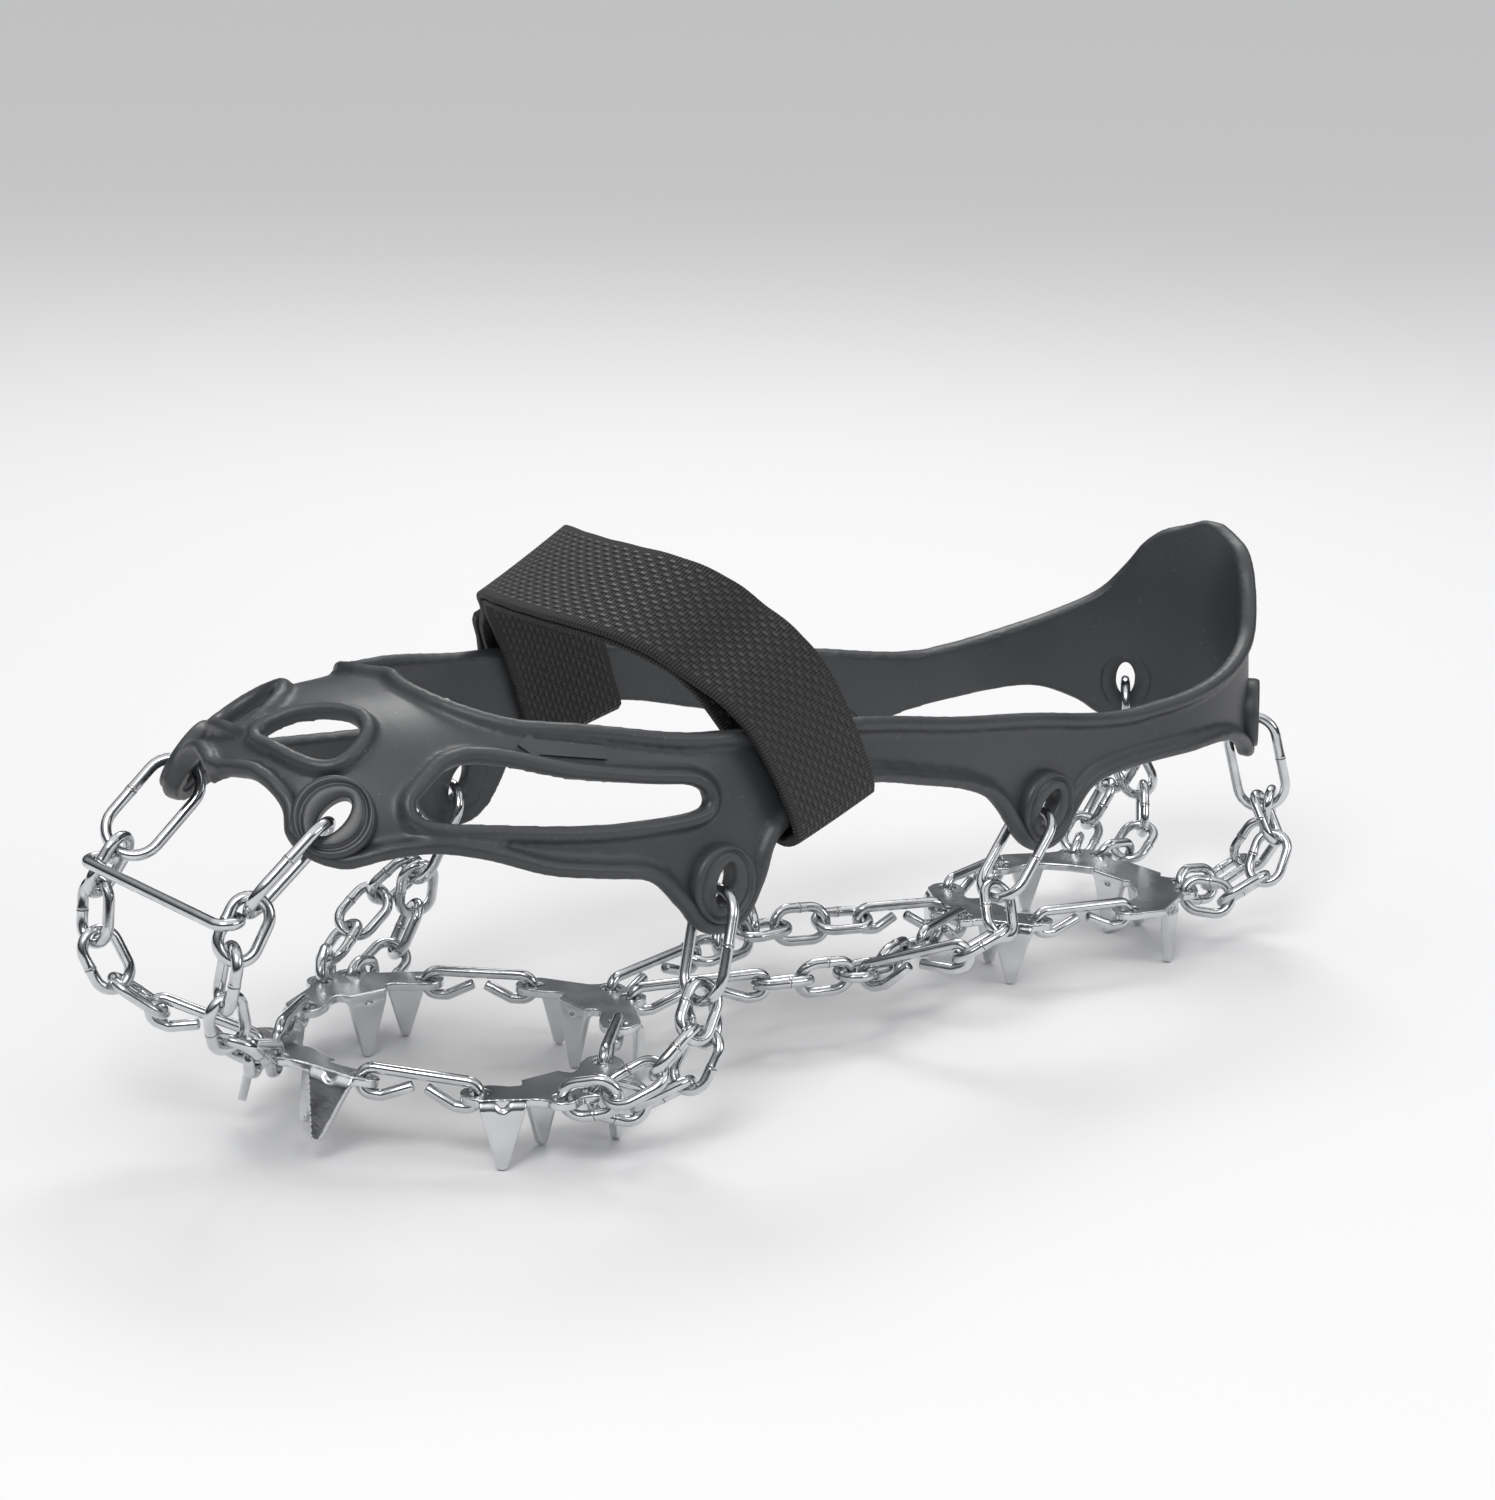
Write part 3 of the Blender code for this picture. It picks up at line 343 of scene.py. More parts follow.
def last_point(station, degrees):
    """Point of the last: station runs along the boot, degrees from the side up to the crest."""
    girth = math.radians(min(90.0, max(0.0, degrees)))
    out = max(0.0, math.cos(girth)) ** (2.0 / LAST_POWER)
    up = math.sin(girth) ** (2.0 / LAST_POWER)
    if station <= HEEL_Y:
        return Vector((half_width(station) * out, station, LAST_FLOOR + (crest(station) - LAST_FLOOR) * up))
    turn = (station - HEEL_Y) / HEEL_RUN * math.pi / 2.0
    depth = HEEL_END - HEEL_Y
    reach = out / math.hypot(math.cos(turn) / HEEL_HALF, math.sin(turn) / depth)
    height = LAST_FLOOR + (crest(HEEL_Y) - LAST_FLOOR) * up
    return Vector((reach * math.cos(turn), HEEL_Y + reach * math.sin(turn), height))


def chart_steps(station, degrees):
    """How far one unit of each chart axis leads on the last."""
    return (last_point(station + 0.5, degrees) - last_point(station - 0.5, degrees),
            last_point(station, degrees + 0.5) - last_point(station, degrees - 0.5))


def last_frame(station, degrees):
    """Outward normal and upward girth direction of the last."""
    along, upward = chart_steps(station, min(89.0, max(1.0, degrees)))
    return along.cross(upward).normalized(), upward.normalized()


def on_last(station, degrees, offset=0.0):
    normal, _ = last_frame(station, degrees)
    point = last_point(station, degrees)
    if degrees >= 90.0 or station >= HEEL_Y + HEEL_RUN:
        normal.x = point.x = 0.0
        normal.normalize()
    return point + normal * offset


def flank(y, z):
    """Chart place of a point on the flank, given its y and height."""
    lift = max(0.0, (z - LAST_FLOOR) / (crest(y) - LAST_FLOOR))
    return (y, math.degrees(math.asin(lift ** (LAST_POWER / 2.0))))


def crown(y, x):
    """Chart place of a point on top of the toe, given its y and distance from the middle."""
    return (y, math.degrees(math.acos((x / half_width(y)) ** (LAST_POWER / 2.0))))


def heel(turn, z):
    """Chart place of a point round the heel, turn degrees from the side."""
    return (HEEL_Y + HEEL_RUN * turn / 90.0, flank(HEEL_Y, z)[1])


# %% [markdown]
# ## Harness
#
# The harness is one rubber moulding: a web about 2.5 mm thick, a rounded bead along every edge, and
# a thick boss with a ring groove and an oval hole at each of the eight eyelets. The outlines below
# are a few points of the left half each, joined by smooth curves. The web always lies on the left
# of the path: the outline runs anticlockwise in the chart and the windows clockwise.

# %% Outlines of the web
def chart(place, *points):
    return [place(*point) for point in points]


OUTLINE = [
    (-137.5, 98.0),
    *chart(crown, (-137.0, 5), (-135.2, 11)),
    *chart(flank, (-133.8, 64.0), (-134.8, 59.0), (-132.5, 55.0), (-127.0, 53.0), (-119.0, 54.6),
           (-110.0, 55.0), (-100.0, 52.8), (-88.0, 48.4), (-75.0, 45.8), (-64.5, 43.5), (-57.5, 37.0),
           (-52.5, 31.0), (-46.0, 28.9), (-39.5, 31.0), (-34.5, 38.0), (-30.0, 46.5), (-18.0, 51.5),
           (-6.0, 53.5), (14.4, 49.5), (29.8, 45.5), (39.0, 41.0), (45.5, 33.5), (50.5, 28.2),
           (56.5, 26.4), (62.5, 28.2), (67.0, 34.0), (73.0, 39.0), (84.0, 40.8)),
    *chart(heel, (6, 41.6), (30, 41.5), (46, 37.5), (54, 33.5), (62, 32.2), (70, 33.8), (78, 38.5),
           (98, 41.0), (98, 84.0), (78, 83.0), (68, 79.0), (61, 72.0), (52, 65.0), (36, 60.0),
           (16, 56.8)),
    *chart(flank, (95.0, 55.0), (80.0, 54.6), (59.0, 57.6), (25.5, 62.3), (-4.0, 67.3), (-25.0, 69.3),
           (-51.3, 71.0), (-74.9, 75.0)),
    *chart(crown, (-86.0, 28), (-93.5, 19), (-96.0, 9)),
    (-96.0, 98.0),
]
TOE_WINDOW = [
    *chart(crown, (-128.4, 3.2), (-122.0, 4.6), (-117.0, 9.0), (-113.4, 15.0), (-114.6, 19.3),
           (-119.5, 21.6), (-123.8, 20.6), (-126.8, 16.0), (-128.3, 9.5)),
]
SIDE_WINDOW = [
    *chart(flank, (-112.0, 63.8), (-107.0, 67.6), (-101.0, 70.4), (-93.0, 70.2), (-78.5, 66.0),
           (-62.0, 62.8), (-51.5, 61.0), (-48.2, 58.0), (-51.5, 55.4), (-70.6, 55.8), (-95.6, 58.6),
           (-109.5, 60.6)),
]
EYELETS = {"front": flank(-126.7, 62.3), "mid": flank(-46.0, 39.5), "arch": flank(56.5, 36.5),
           "rear": heel(62, 42.5)}
SHEET, BOSS_RADIUS = 3.5, 8.6
FRONT_EDGE, BACK_EDGE = TOE_END, HEEL_Y + HEEL_RUN


def curve_through(knots, steps):
    """Smooth closed path through chart places, steps samples to each span."""
    path = []
    for index, knot in enumerate(knots):
        a, b, c, d = (Vector(knots[(index + shift) % len(knots)]) for shift in (-1, 0, 1, 2))
        path += [catmull_rom(a, b, c, d, step / steps) for step in range(steps)]
    return path


print("outline points:", len(curve_through(OUTLINE, 4)))

# %% [markdown]
# The web is cut like a sheet pattern: the loops are filled in the flat chart, sliced every few
# millimetres so that the sheet can bend, wrapped onto the last, mirrored, and given its thickness
# inwards. A round gap is left under each boss, which is made apart with its finer profile.

# %% The web
WEB_TOP, WEB_THICK = -1.5, 1.9


def eyelet_gap(place, radius, count=24):
    """Round hole of the chart that comes out round on the last."""
    station, degrees = place
    per_station, per_degree = (step.length for step in chart_steps(station, degrees))
    angles = [2.0 * math.pi * index / count for index in range(count)]
    return [Vector((station + radius * math.cos(a) / per_station,
                    degrees + radius * math.sin(a) / per_degree)) for a in angles]


def everything(bm):
    return bm.verts[:] + bm.edges[:] + bm.faces[:]


def cut_chart(bm, axis, value, dist, trim=False):
    """Cut the flat sheet across one chart axis, and drop what lies past the cut if trimmed."""
    place, normal = Vector((0, 0, 0)), Vector((0, 0, 0))
    place[axis] = value
    normal[axis] = 1.0
    bmesh.ops.bisect_plane(bm, geom=everything(bm), dist=dist, plane_co=place, plane_no=normal,
                           clear_outer=trim)


def slice_chart(bm, axis, start, stop, step):
    for index in range(1, int((stop - start) / step) + 1):
        cut_chart(bm, axis, start + index * step, 0.01)


def web_mesh():
    bm = bmesh.new()
    loops = [curve_through(OUTLINE, 5), curve_through(TOE_WINDOW, 4), curve_through(SIDE_WINDOW, 4)]
    loops += [eyelet_gap(place, BOSS_RADIUS - 2.2) for place in EYELETS.values()]
    for loop in loops:
        knots = [bm.verts.new((place.x, place.y, 0.0)) for place in loop]
        for first, second in zip(knots, knots[1:] + knots[:1]):
            bm.edges.new((first, second))
    bmesh.ops.triangle_fill(bm, edges=bm.edges[:], use_beauty=True, use_dissolve=False)
    cut_chart(bm, 0, BACK_EDGE, 0.001, trim=True)
    cut_chart(bm, 1, 90.0, 0.001, trim=True)
    slice_chart(bm, 0, FRONT_EDGE, BACK_EDGE, 3.0)
    slice_chart(bm, 1, 0.0, 90.0, 3.0)
    bmesh.ops.remove_doubles(bm, verts=bm.verts, dist=0.02)
    for vertex in bm.verts:
        vertex.co = on_last(vertex.co.x, vertex.co.y, WEB_TOP)
    bmesh.ops.mirror(bm, geom=everything(bm), merge_dist=0.02, axis="X")
    bmesh.ops.remove_doubles(bm, verts=bm.verts, dist=0.02)
    bmesh.ops.recalc_face_normals(bm, faces=bm.faces)
    outward = sum(face.normal.dot(Vector((face.calc_center_median().x, 0, 30))) for face in bm.faces)
    if outward < 0.0:
        bmesh.ops.reverse_faces(bm, faces=bm.faces)
    mesh = bpy.data.meshes.new("web")
    bm.to_mesh(mesh)
    bm.free()
    sheet = new_object("web", mesh)
    wall = sheet.modifiers.new("wall", "SOLIDIFY")
    wall.thickness = WEB_THICK
    wall.offset = -1.0
    bake_modifiers(sheet)
    bm = bmesh.new()
    bm.from_mesh(sheet.data)
    bpy.data.objects.remove(sheet, do_unlink=True)
    return bm


# %% [markdown]
# A bead is a round cord of rubber moulded along an edge. Each one is a circle swept along the edge's
# curve, shifted a little into the web so that its outer side is the edge itself. Edges that cross
# the middle are drawn on the left, mirrored and closed into one loop.

# %% The beads
BEAD, BEAD_INSET, BEAD_OFFSET = 1.75, 1.35, -1.0


def bead_path(chart, closed):
    """Bead centres: chart samples on the last, moved off the edge into the web on the left."""
    points = [on_last(place.x, place.y, BEAD_OFFSET) for place in chart]
    normals = [on_last(place.x, place.y, 1.0) - on_last(place.x, place.y, 0.0) for place in chart]
    moved = []
    for index, (point, normal) in enumerate(zip(points, normals)):
        before = points[index - 1] if index or closed else point
        after = points[(index + 1) % len(points)] if index + 1 < len(points) or closed else point
        moved.append(point + normal.cross(after - before).normalized() * BEAD_INSET)
    return moved


def split_at_middle(chart):
    """The runs of a closed chart path that lie on the left half."""
    inside = [place.x <= BACK_EDGE and place.y <= 90.0 for place in chart]
    start = next(index for index in range(len(chart)) if inside[index] and not inside[index - 1])
    runs, run = [], []
    for index in range(len(chart)):
        here = (start + index) % len(chart)
        if inside[here]:
            run.append(chart[here])
        elif run:
            runs.append(run)
            run = []
    return runs + ([run] if run else [])


def sweep_bead(bm, path):
    """Sweep a round bead along a closed path by a bevelled curve."""
    data = bpy.data.curves.new("bead", "CURVE")
    data.dimensions = "3D"
    data.bevel_depth = BEAD
    data.bevel_resolution = 3
    spline = data.splines.new("POLY")
    spline.points.add(len(path) - 1)
    spline.use_cyclic_u = True
    for knot, point in zip(spline.points, path):
        knot.co = (*point, 1.0)
    carrier = new_object("bead", data)
    bm.from_mesh(evaluated_mesh(carrier))
    bpy.data.objects.remove(carrier, do_unlink=True)


def add_beads(bm):
    for run in split_at_middle(curve_through(OUTLINE, 5)):
        left = [point for point in bead_path(run, False) if point.x > 0.4]
        sweep_bead(bm, left + [mirrored(point, -1.0) for point in reversed(left)])
    for window in (TOE_WINDOW, SIDE_WINDOW):
        path = bead_path(curve_through(window, 4), True)
        sweep_bead(bm, path)
        sweep_bead(bm, [mirrored(point, -1.0) for point in path])


bm = web_mesh()
add_beads(bm)
print("web and beads:", len(bm.faces), "faces before they are fused")

# %% [markdown]
# Web and beads overlap like two lumps of clay. A voxel remesh at three quarters of a millimetre fuses
# them into one skin, and a few rounds of smoothing give the soft fillet that a mould leaves.

# %% Fusing the harness
def fuse(piece, voxel, rounds, factor=0.5):
    skin = piece.modifiers.new("fuse", "REMESH")
    skin.mode = "VOXEL"
    skin.voxel_size = voxel * MM
    skin.use_smooth_shade = True
    soften = piece.modifiers.new("soften", "SMOOTH")
    soften.factor = factor
    soften.iterations = rounds
    bake_modifiers(piece)
    return piece


harness = fuse(make_piece("harness_web", bm, rubber, "rubber", ["harness"]), 0.74, 5)
print("harness web:", len(harness.data.polygons), "faces")

# %% [markdown]
# Every boss is turned on a lathe: a profile with a rounded rim, a groove round the inner pad and a
# lip at the hole is spun once, and its inner end is then drawn out to the oval hole through which
# the chain link goes. Its underside is hidden against the boot, so the profile is closed flat there.

# %% Eyelet bosses
BOSS_PROFILE = [(0.0, -3.4), (0.0, 0.3), (0.04, 0.75), (0.12, 0.95), (0.46, 0.95), (0.55, 0.88), (0.60, 0.55),
                (0.66, 0.45), (0.71, 0.6), (0.75, 1.0), (0.80, 1.15), (0.88, 1.1), (0.95, 0.75), (0.99, 0.1),
                (1.0, -0.8), (1.0, -2.6), (0.93, -3.4)]
HOLE_HALF, HOLE_LONG = 2.4, 4.7
LINK_TARGETS = {"front": (25.73, -143.4, 46.85), "mid": (52.05, -53.35, 20.71), "arch": (40.5, 29.65, 7.0),
                "rear": (24.06, 145.02, 20.33)}


def eyelet_frame(key):
    """Middle of a left eyelet's rubber, the outward direction, and the way its link pulls."""
    place = EYELETS[key]
    normal, _ = last_frame(*place)
    middle = last_point(*place) - normal * (SHEET / 2.0)
    pull = Vector(LINK_TARGETS[key]) - middle
    return middle, normal, square_to(normal, pull)


def boss_mesh(key):
    middle, normal, pull = eyelet_frame(key)
    bm = bmesh.new()
    rim = [bm.verts.new((1.0 + share, 0.0, height)) for share, height in BOSS_PROFILE]
    profile = [bm.edges.new(pair) for pair in zip(rim, rim[1:] + rim[:1])]
    bmesh.ops.spin(bm, geom=rim + profile, cent=(0, 0, 0), axis=(0, 0, 1), angle=2.0 * math.pi, steps=64,
                   use_merge=True)
    bmesh.ops.remove_doubles(bm, verts=bm.verts, dist=1e-4)
    across = pull.cross(normal)
    for vertex in bm.verts:
        angle = math.atan2(vertex.co.y, vertex.co.x)
        share = math.hypot(vertex.co.x, vertex.co.y) - 1.0
        ring = Vector((math.cos(angle), math.sin(angle)))
        oval = 1.0 / math.hypot(ring.x / HOLE_HALF, ring.y / HOLE_LONG)
        reach = oval + (BOSS_RADIUS - 0.2 - oval) * share
        vertex.co = (middle + normal * (SHEET / 2.0 + vertex.co.z) + across * (ring.x * reach)
                     + pull * (ring.y * reach))
    bmesh.ops.recalc_face_normals(bm, faces=bm.faces)
    return bm


for key in EYELETS:
    both_sides("harness_boss_" + key, boss_mesh(key), rubber, "rubber", body=BODY["harness"])
print("bosses:", 2 * len(EYELETS))

# %% [markdown]
# An arrow moulded on each flank shows which way the harness goes on. It is a thin flat relief with
# softened edges: an outline filled in the chart, raised by an extrude and wrapped like the web.

# %% Direction arrow
ARROW = [(-86.5, 72.4), (-82.6, 74.4), (-82.8, 73.0), (-69.3, 70.6), (-69.5, 68.2),
         (-83.3, 70.4), (-83.5, 69.1)]
ARROW_RELIEF = 1.5


def arrow_mesh():
    bm = bmesh.new()
    knots = [bm.verts.new((*flank(y, z), 0.0)) for y, z in ARROW]
    bm.faces.new(knots)
    bmesh.ops.bevel(bm, geom=knots, affect="VERTICES", offset=0.35, segments=2, profile=0.5,
                    material=-1)
    bmesh.ops.triangulate(bm, faces=bm.faces[:])
    slice_chart(bm, 0, -90.0, -68.0, 1.5)
    lifted = bmesh.ops.extrude_face_region(bm, geom=bm.faces[:])["geom"]
    for vertex in verts_of(lifted):
        vertex.co.z = 1.0
    for vertex in bm.verts:
        vertex.co = on_last(vertex.co.x, vertex.co.y, WEB_TOP - 0.8 + ARROW_RELIEF * vertex.co.z)
    bmesh.ops.recalc_face_normals(bm, faces=bm.faces)
    return bm


both_sides("harness_arrow", arrow_mesh(), rubber, "rubber", body=BODY["harness"], smooth=False)

# %% [markdown]
# ## Wire pieces
#
# Every link and connector is bent from 2.4 mm wire, so one small wire bender makes them all. It
# starts from a circle, extrudes it for a straight run and spins it for a bend, always towards the
# inside of the shape. A welded link closes on its own first ring; a cut wire gets a rounded end.

# %% The wire bender
WIRE = 2.4
LINK_WIDTH, EYE_LINK_WIDTH = 10.2, 14.0
HOOK_RADIUS, HOOK_LEG, HOOK_GAP = 2.75, 9.5, 0.3
WELD_STEPS = ((0.4, 1.05), (0.3, 1.09), (0.14, 0.98), (0.14, 1.09), (0.3, 1.05), (0.4, 1.0))
HALF_WELD = 0.84


class WireBender:
    def __init__(self, place, heading, inside, radius=WIRE / 2.0, sides=16):
        self.bm = bmesh.new()
        self.place, self.thick = Vector(place), 1.0
        self.heading, self.inside = heading.normalized(), inside.normalized()
        axes = Matrix((self.inside, self.heading.cross(self.inside), self.heading)).transposed()
        bmesh.ops.create_circle(self.bm, cap_ends=False, radius=radius, segments=sides,
                                matrix=Matrix.Translation(self.place) @ axes.to_4x4())
        self.ring = self.bm.edges[:]
        self.first = self.bm.edges[:]

    def drawn(self, ring, place, step, size, weld=False):
        """Extrude a ring by a step and resize it about its new middle."""
        made = bmesh.ops.extrude_edge_only(self.bm, edges=ring)["geom"]
        knots = verts_of(made)
        for face in (item for item in made if isinstance(item, bmesh.types.BMFace)):
            face.material_index = 1 if weld else 0
        bmesh.ops.translate(self.bm, verts=knots, vec=step)
        place = place + step
        bmesh.ops.scale(self.bm, vec=(size, size, size), verts=knots,
                        space=Matrix.Translation(-place))
        return [item for item in made if isinstance(item, bmesh.types.BMEdge)
                and item.verts[0] in knots and item.verts[1] in knots], place

    def straight(self, length, thick=1.0, weld=False):
        """Run straight on, ending thick times as wide as the plain wire."""
        self.ring, self.place = self.drawn(self.ring, self.place, self.heading * length,
                                           thick / self.thick, weld)
        self.thick = thick
        return self

    def bend(self, degrees, radius, steps=10):
        axis = self.heading.cross(self.inside)
        centre = self.place + self.inside * radius
        knots = list({vertex for edge in self.ring for vertex in edge.verts})
        made = bmesh.ops.spin(self.bm, geom=self.ring + knots, cent=centre, axis=axis,
                              angle=math.radians(degrees), steps=steps, use_merge=False)
        self.ring = [item for item in made["geom_last"] if isinstance(item, bmesh.types.BMEdge)]
        turn = Matrix.Rotation(math.radians(degrees), 3, axis)
        self.place = centre + turn @ (self.place - centre)
        self.heading, self.inside = turn @ self.heading, turn @ self.inside
        return self

    def weld(self):
        """Butt weld: a low upset ridge on each side of the joint line."""
        for length, thick in WELD_STEPS:
            self.straight(length, thick, weld=length < 0.2)

    def cut_end(self, ring, outward, place):
        """Close an open end with a small rounded shoulder."""
        for length, size in ((0.22, 0.90), (0.12, 0.70)):
            ring, place = self.drawn(ring, place, outward * length, size)
        bmesh.ops.edgeloop_fill(self.bm, edges=ring)

    def cut_ends(self, first_place, first_heading):
        self.cut_end(self.first, -first_heading, first_place)
        self.cut_end(self.ring, self.heading, self.place)

    def finished(self):
        bmesh.ops.remove_doubles(self.bm, verts=self.bm.verts, dist=0.01)
        bmesh.ops.recalc_face_normals(self.bm, faces=self.bm.faces)
        return self.bm


print("wire:", WIRE, "mm")

# %% [markdown]
# A welded link is an oval: two half-round ends and two straight sides, with the weld in the middle
# of one side. A connector is a straight wire whose two ends are hooked back, so that each cut end
# rests against the wire it came from.

# %% Links and connectors
def link_mesh(start, end, side, width, flip=False):
    """Welded oval link between two apex points; side points across it, to the welded leg."""
    along = (end - start).normalized()
    across = square_to(along, side)
    if flip:
        across = -across
    radius = (width - WIRE) / 2.0
    leg = (end - start).length - 2.0 * radius
    middle = (start + end) / 2.0 + across * radius
    wire = WireBender(middle - along * HALF_WELD, along, -across)
    wire.weld()
    wire.straight(leg / 2.0 - HALF_WELD)
    wire.bend(180.0, radius, 14).straight(leg).bend(180.0, radius, 14)
    wire.straight(leg / 2.0 - HALF_WELD)
    return wire.finished()


def connector_mesh(start, end, up):
    """Straight wire with both ends hooked back, between two apex points."""
    along = (end - start).normalized()
    up = square_to(along, up)
    knee, level = 1.6, 2.2
    leg = min(HOOK_LEG, (end - start).length / 2.0 - HOOK_RADIUS - knee)
    rise = 2.0 * HOOK_RADIUS - WIRE - HOOK_GAP
    slope = math.atan2(rise, leg - level)
    turn, cut = math.degrees(slope), knee * math.tan(slope / 2.0)
    heading = -along * math.cos(slope) - up * math.sin(slope)
    inside = up * math.cos(slope) - along * math.sin(slope)
    begin = start + along * (HOOK_RADIUS + leg) + up * (HOOK_RADIUS - WIRE - HOOK_GAP)
    wire = WireBender(begin, heading, inside)
    free = math.hypot(rise, leg - level) - cut
    wire.straight(free).bend(turn, knee, 4).straight(level - cut).bend(180.0, HOOK_RADIUS, 14)
    wire.straight((end - start).length - 2.0 * HOOK_RADIUS)
    wire.bend(180.0, HOOK_RADIUS, 14).straight(level - cut).bend(turn, knee, 4).straight(free)
    wire.cut_ends(begin, heading)
    return wire.finished()


# %% [markdown]
# ## Where the chains hang
#
# Each eyelet link points at the spot where its chain wants to go. Strands of equal links hang from
# it in a shallow arc to the plate's ear, and each link is turned about its length from the one
# before. The numbers for bulge and turn are the ones that leave every neighbour a little air.

# %% Chain layout
LOOSE, TIGHT, LINK_PITCH, EYE_LINK_LENGTH = 1.35, 1.22, 10.4, 26.0
SHIFT_IN_EYELET, HOOK_SLACK = 1.2, 0.6
SHEET_STEEL = 1.8
JUNCTION = Vector((18.0, 20.5, -SHEET_STEEL / 2.0))
UP = Vector((0.0, 0.0, 1.0))
SLACK = {"front": 0.64, "mid": 1.19, "arch": 0.79, "rear": 0.94}
STACKED = {"front": 0.0, "mid": 1.47, "arch": 0.0, "rear": -1.31}
STRANDS = {
    "front": [((0.17, -0.84, -1.03), (75.8, -28.1, -123.2, -10.4))],
    "mid": [((0.38, 0.36, -0.86), (81.1, 162.1, 37.9, -98.7)),
            ((0.97, 0.16, -0.26), (102.9, 224.4, -16.1, -88.1))],
    "arch": [((1.4, -0.26, -1.07), (103.7, 32.1))],
    "rear": [((-0.29, 0.51, -0.85), (102.0, 6.4, 46.3, -81.2)),
             ((0.97, 0.54, -0.79), (113.6, 10.8, 80.8, 42.5))],
}
FRONT_LOW = Vector((18.04, -140.13, 12.4))
EAR_OFFSET, ARM_OFFSET, EAR_ROW, ARM_ROW = 3.7, 15.7, -6.15, 6.15
REAR_EARS, REAR_ARM = ((14.2, -26.0), (19.4, -22.0)), 22.5


def plate_matrix(x, y, z, yaw, tilt=0.0):
    return (Matrix.Translation((x, y, z)) @ Matrix.Rotation(math.radians(tilt), 4, "X")
            @ Matrix.Rotation(math.radians(yaw), 4, "Z"))


PLATES = {
    "plate_toe": plate_matrix(0.0, -119.0, 4.2, 0.0, -16.0),
    "plate_side_left": plate_matrix(39.15, -80.0, 0.0, 90.0),
    "plate_side_right": plate_matrix(-39.15, -80.0, 0.0, -90.0),
    "plate_ball": plate_matrix(0.0, -41.0, 0.0, 180.0),
    "plate_heel": plate_matrix(0.0, 70.5, 0.0, 0.0),
    "plate_rear": plate_matrix(0.0, 101.0, 0.0, 180.0),
}


def plate_hole(plate, u, v):
    return PLATES[plate] @ Vector((u, v, -SHEET_STEEL / 2.0))


def plate_up(plate):
    return PLATES[plate].to_3x3() @ UP


def arc_chain(start, end, bulge, count, pitch):
    """Joints of a chain of equal links that hangs from start to end in a circular arc."""
    chord = end - start
    along = chord.normalized()
    out = square_to(along, bulge)
    low, high = 1e-4, 2.0 * math.pi / count * 0.9
    for _ in range(60):
        turn = (low + high) / 2.0
        span = pitch * math.sin(count * turn / 2.0) / math.sin(turn / 2.0)
        low, high = (turn, high) if span > chord.length else (low, turn)
    points = [start]
    heading = count * turn / 2.0 - turn / 2.0
    for _ in range(count):
        points.append(points[-1] + (along * math.cos(heading) + out * math.sin(heading)) * pitch)
        heading -= turn
    scale = chord.length / (points[-1] - start).length
    return [start + (point - start) * scale for point in points]


def eye_link(key):
    """Apexes, width direction and lower joint of the long link in an eyelet."""
    hole, normal, _ = eyelet_frame(key)
    along = (Vector(LINK_TARGETS[key]) - hole).normalized()
    start = hole + along * SHIFT_IN_EYELET
    end = start + along * (EYE_LINK_LENGTH - WIRE)
    return start, end, square_to(along, normal), end - along * (LOOSE + SLACK[key]), normal


def strand_joints(key, index, end, count):
    _, _, side, joint, _ = eye_link(key)
    shift = STACKED[key] if index else -STACKED[key]
    return arc_chain(joint + side * shift, end, Vector(STRANDS[key][index][0]), count, LINK_PITCH)


# %% [markdown]
# Now the bender makes every link. The long link in each eyelet comes first, then the strands, link
# by link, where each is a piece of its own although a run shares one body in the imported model.

# %% Making the links
def turned_side(start, end, normal, degrees):
    """Width direction of a link, turned about its length from the given normal."""
    along = (end - start).normalized()
    return Matrix.Rotation(math.radians(degrees), 3, along) @ square_to(along, normal)


def make_run(name, joints, normal, turns, ends=(LOOSE, LOOSE)):
    """A run of welded links between joints; ends says how far the outer two reach past theirs."""
    count = len(joints) - 1
    for index in range(count):
        start, end = joints[index], joints[index + 1]
        along = (end - start).normalized()
        lead = ends[0] if index == 0 else TIGHT
        tail = ends[1] if index == count - 1 else TIGHT
        side = turned_side(start, end, normal, turns[index])
        link = link_mesh(start - along * lead, end + along * tail, side, LINK_WIDTH,
                         flip=0 < index < count - 1)
        both_sides(name, link, wire_and_weld, "wire", [name], f"_{index + 1}" if count > 1 else "")


wire_and_weld = [wire_steel, weld_steel]
for key in EYELETS:
    start, end, side, _, _ = eye_link(key)
    link = link_mesh(start, end, side, EYE_LINK_WIDTH)
    both_sides("eye_link_" + key, link, wire_and_weld, "wire", ["eye_link_" + key])

toe = strand_joints("front", 0, FRONT_LOW, 4)
toe_normal, toe_turns = eye_link("front")[4], STRANDS["front"][0][1]
make_run("toe_chain_upper", toe[0:2], toe_normal, toe_turns[:1])
make_run("toe_chain_lower", toe[1:5], toe_normal, toe_turns[1:])
for index, (label, ear) in enumerate((("rear", EAR_OFFSET), ("front", -EAR_OFFSET))):
    joints = strand_joints("mid", index, plate_hole("plate_side_left", ear, EAR_ROW), 4)
    make_run("mid_strand_" + label, joints, eye_link("mid")[4], STRANDS["mid"][index][1], (LOOSE, 0.0))
for index, (label, ear) in enumerate((("inner", REAR_EARS[0]), ("outer", REAR_EARS[1]))):
    joints = strand_joints("rear", index, plate_hole("plate_rear", -ear[0], ear[1]), 4)
    make_run("rear_strand_" + label, joints, eye_link("rear")[4], STRANDS["rear"][index][1], (LOOSE, 0.0))
EDGE = Vector(LINK_TARGETS["arch"])
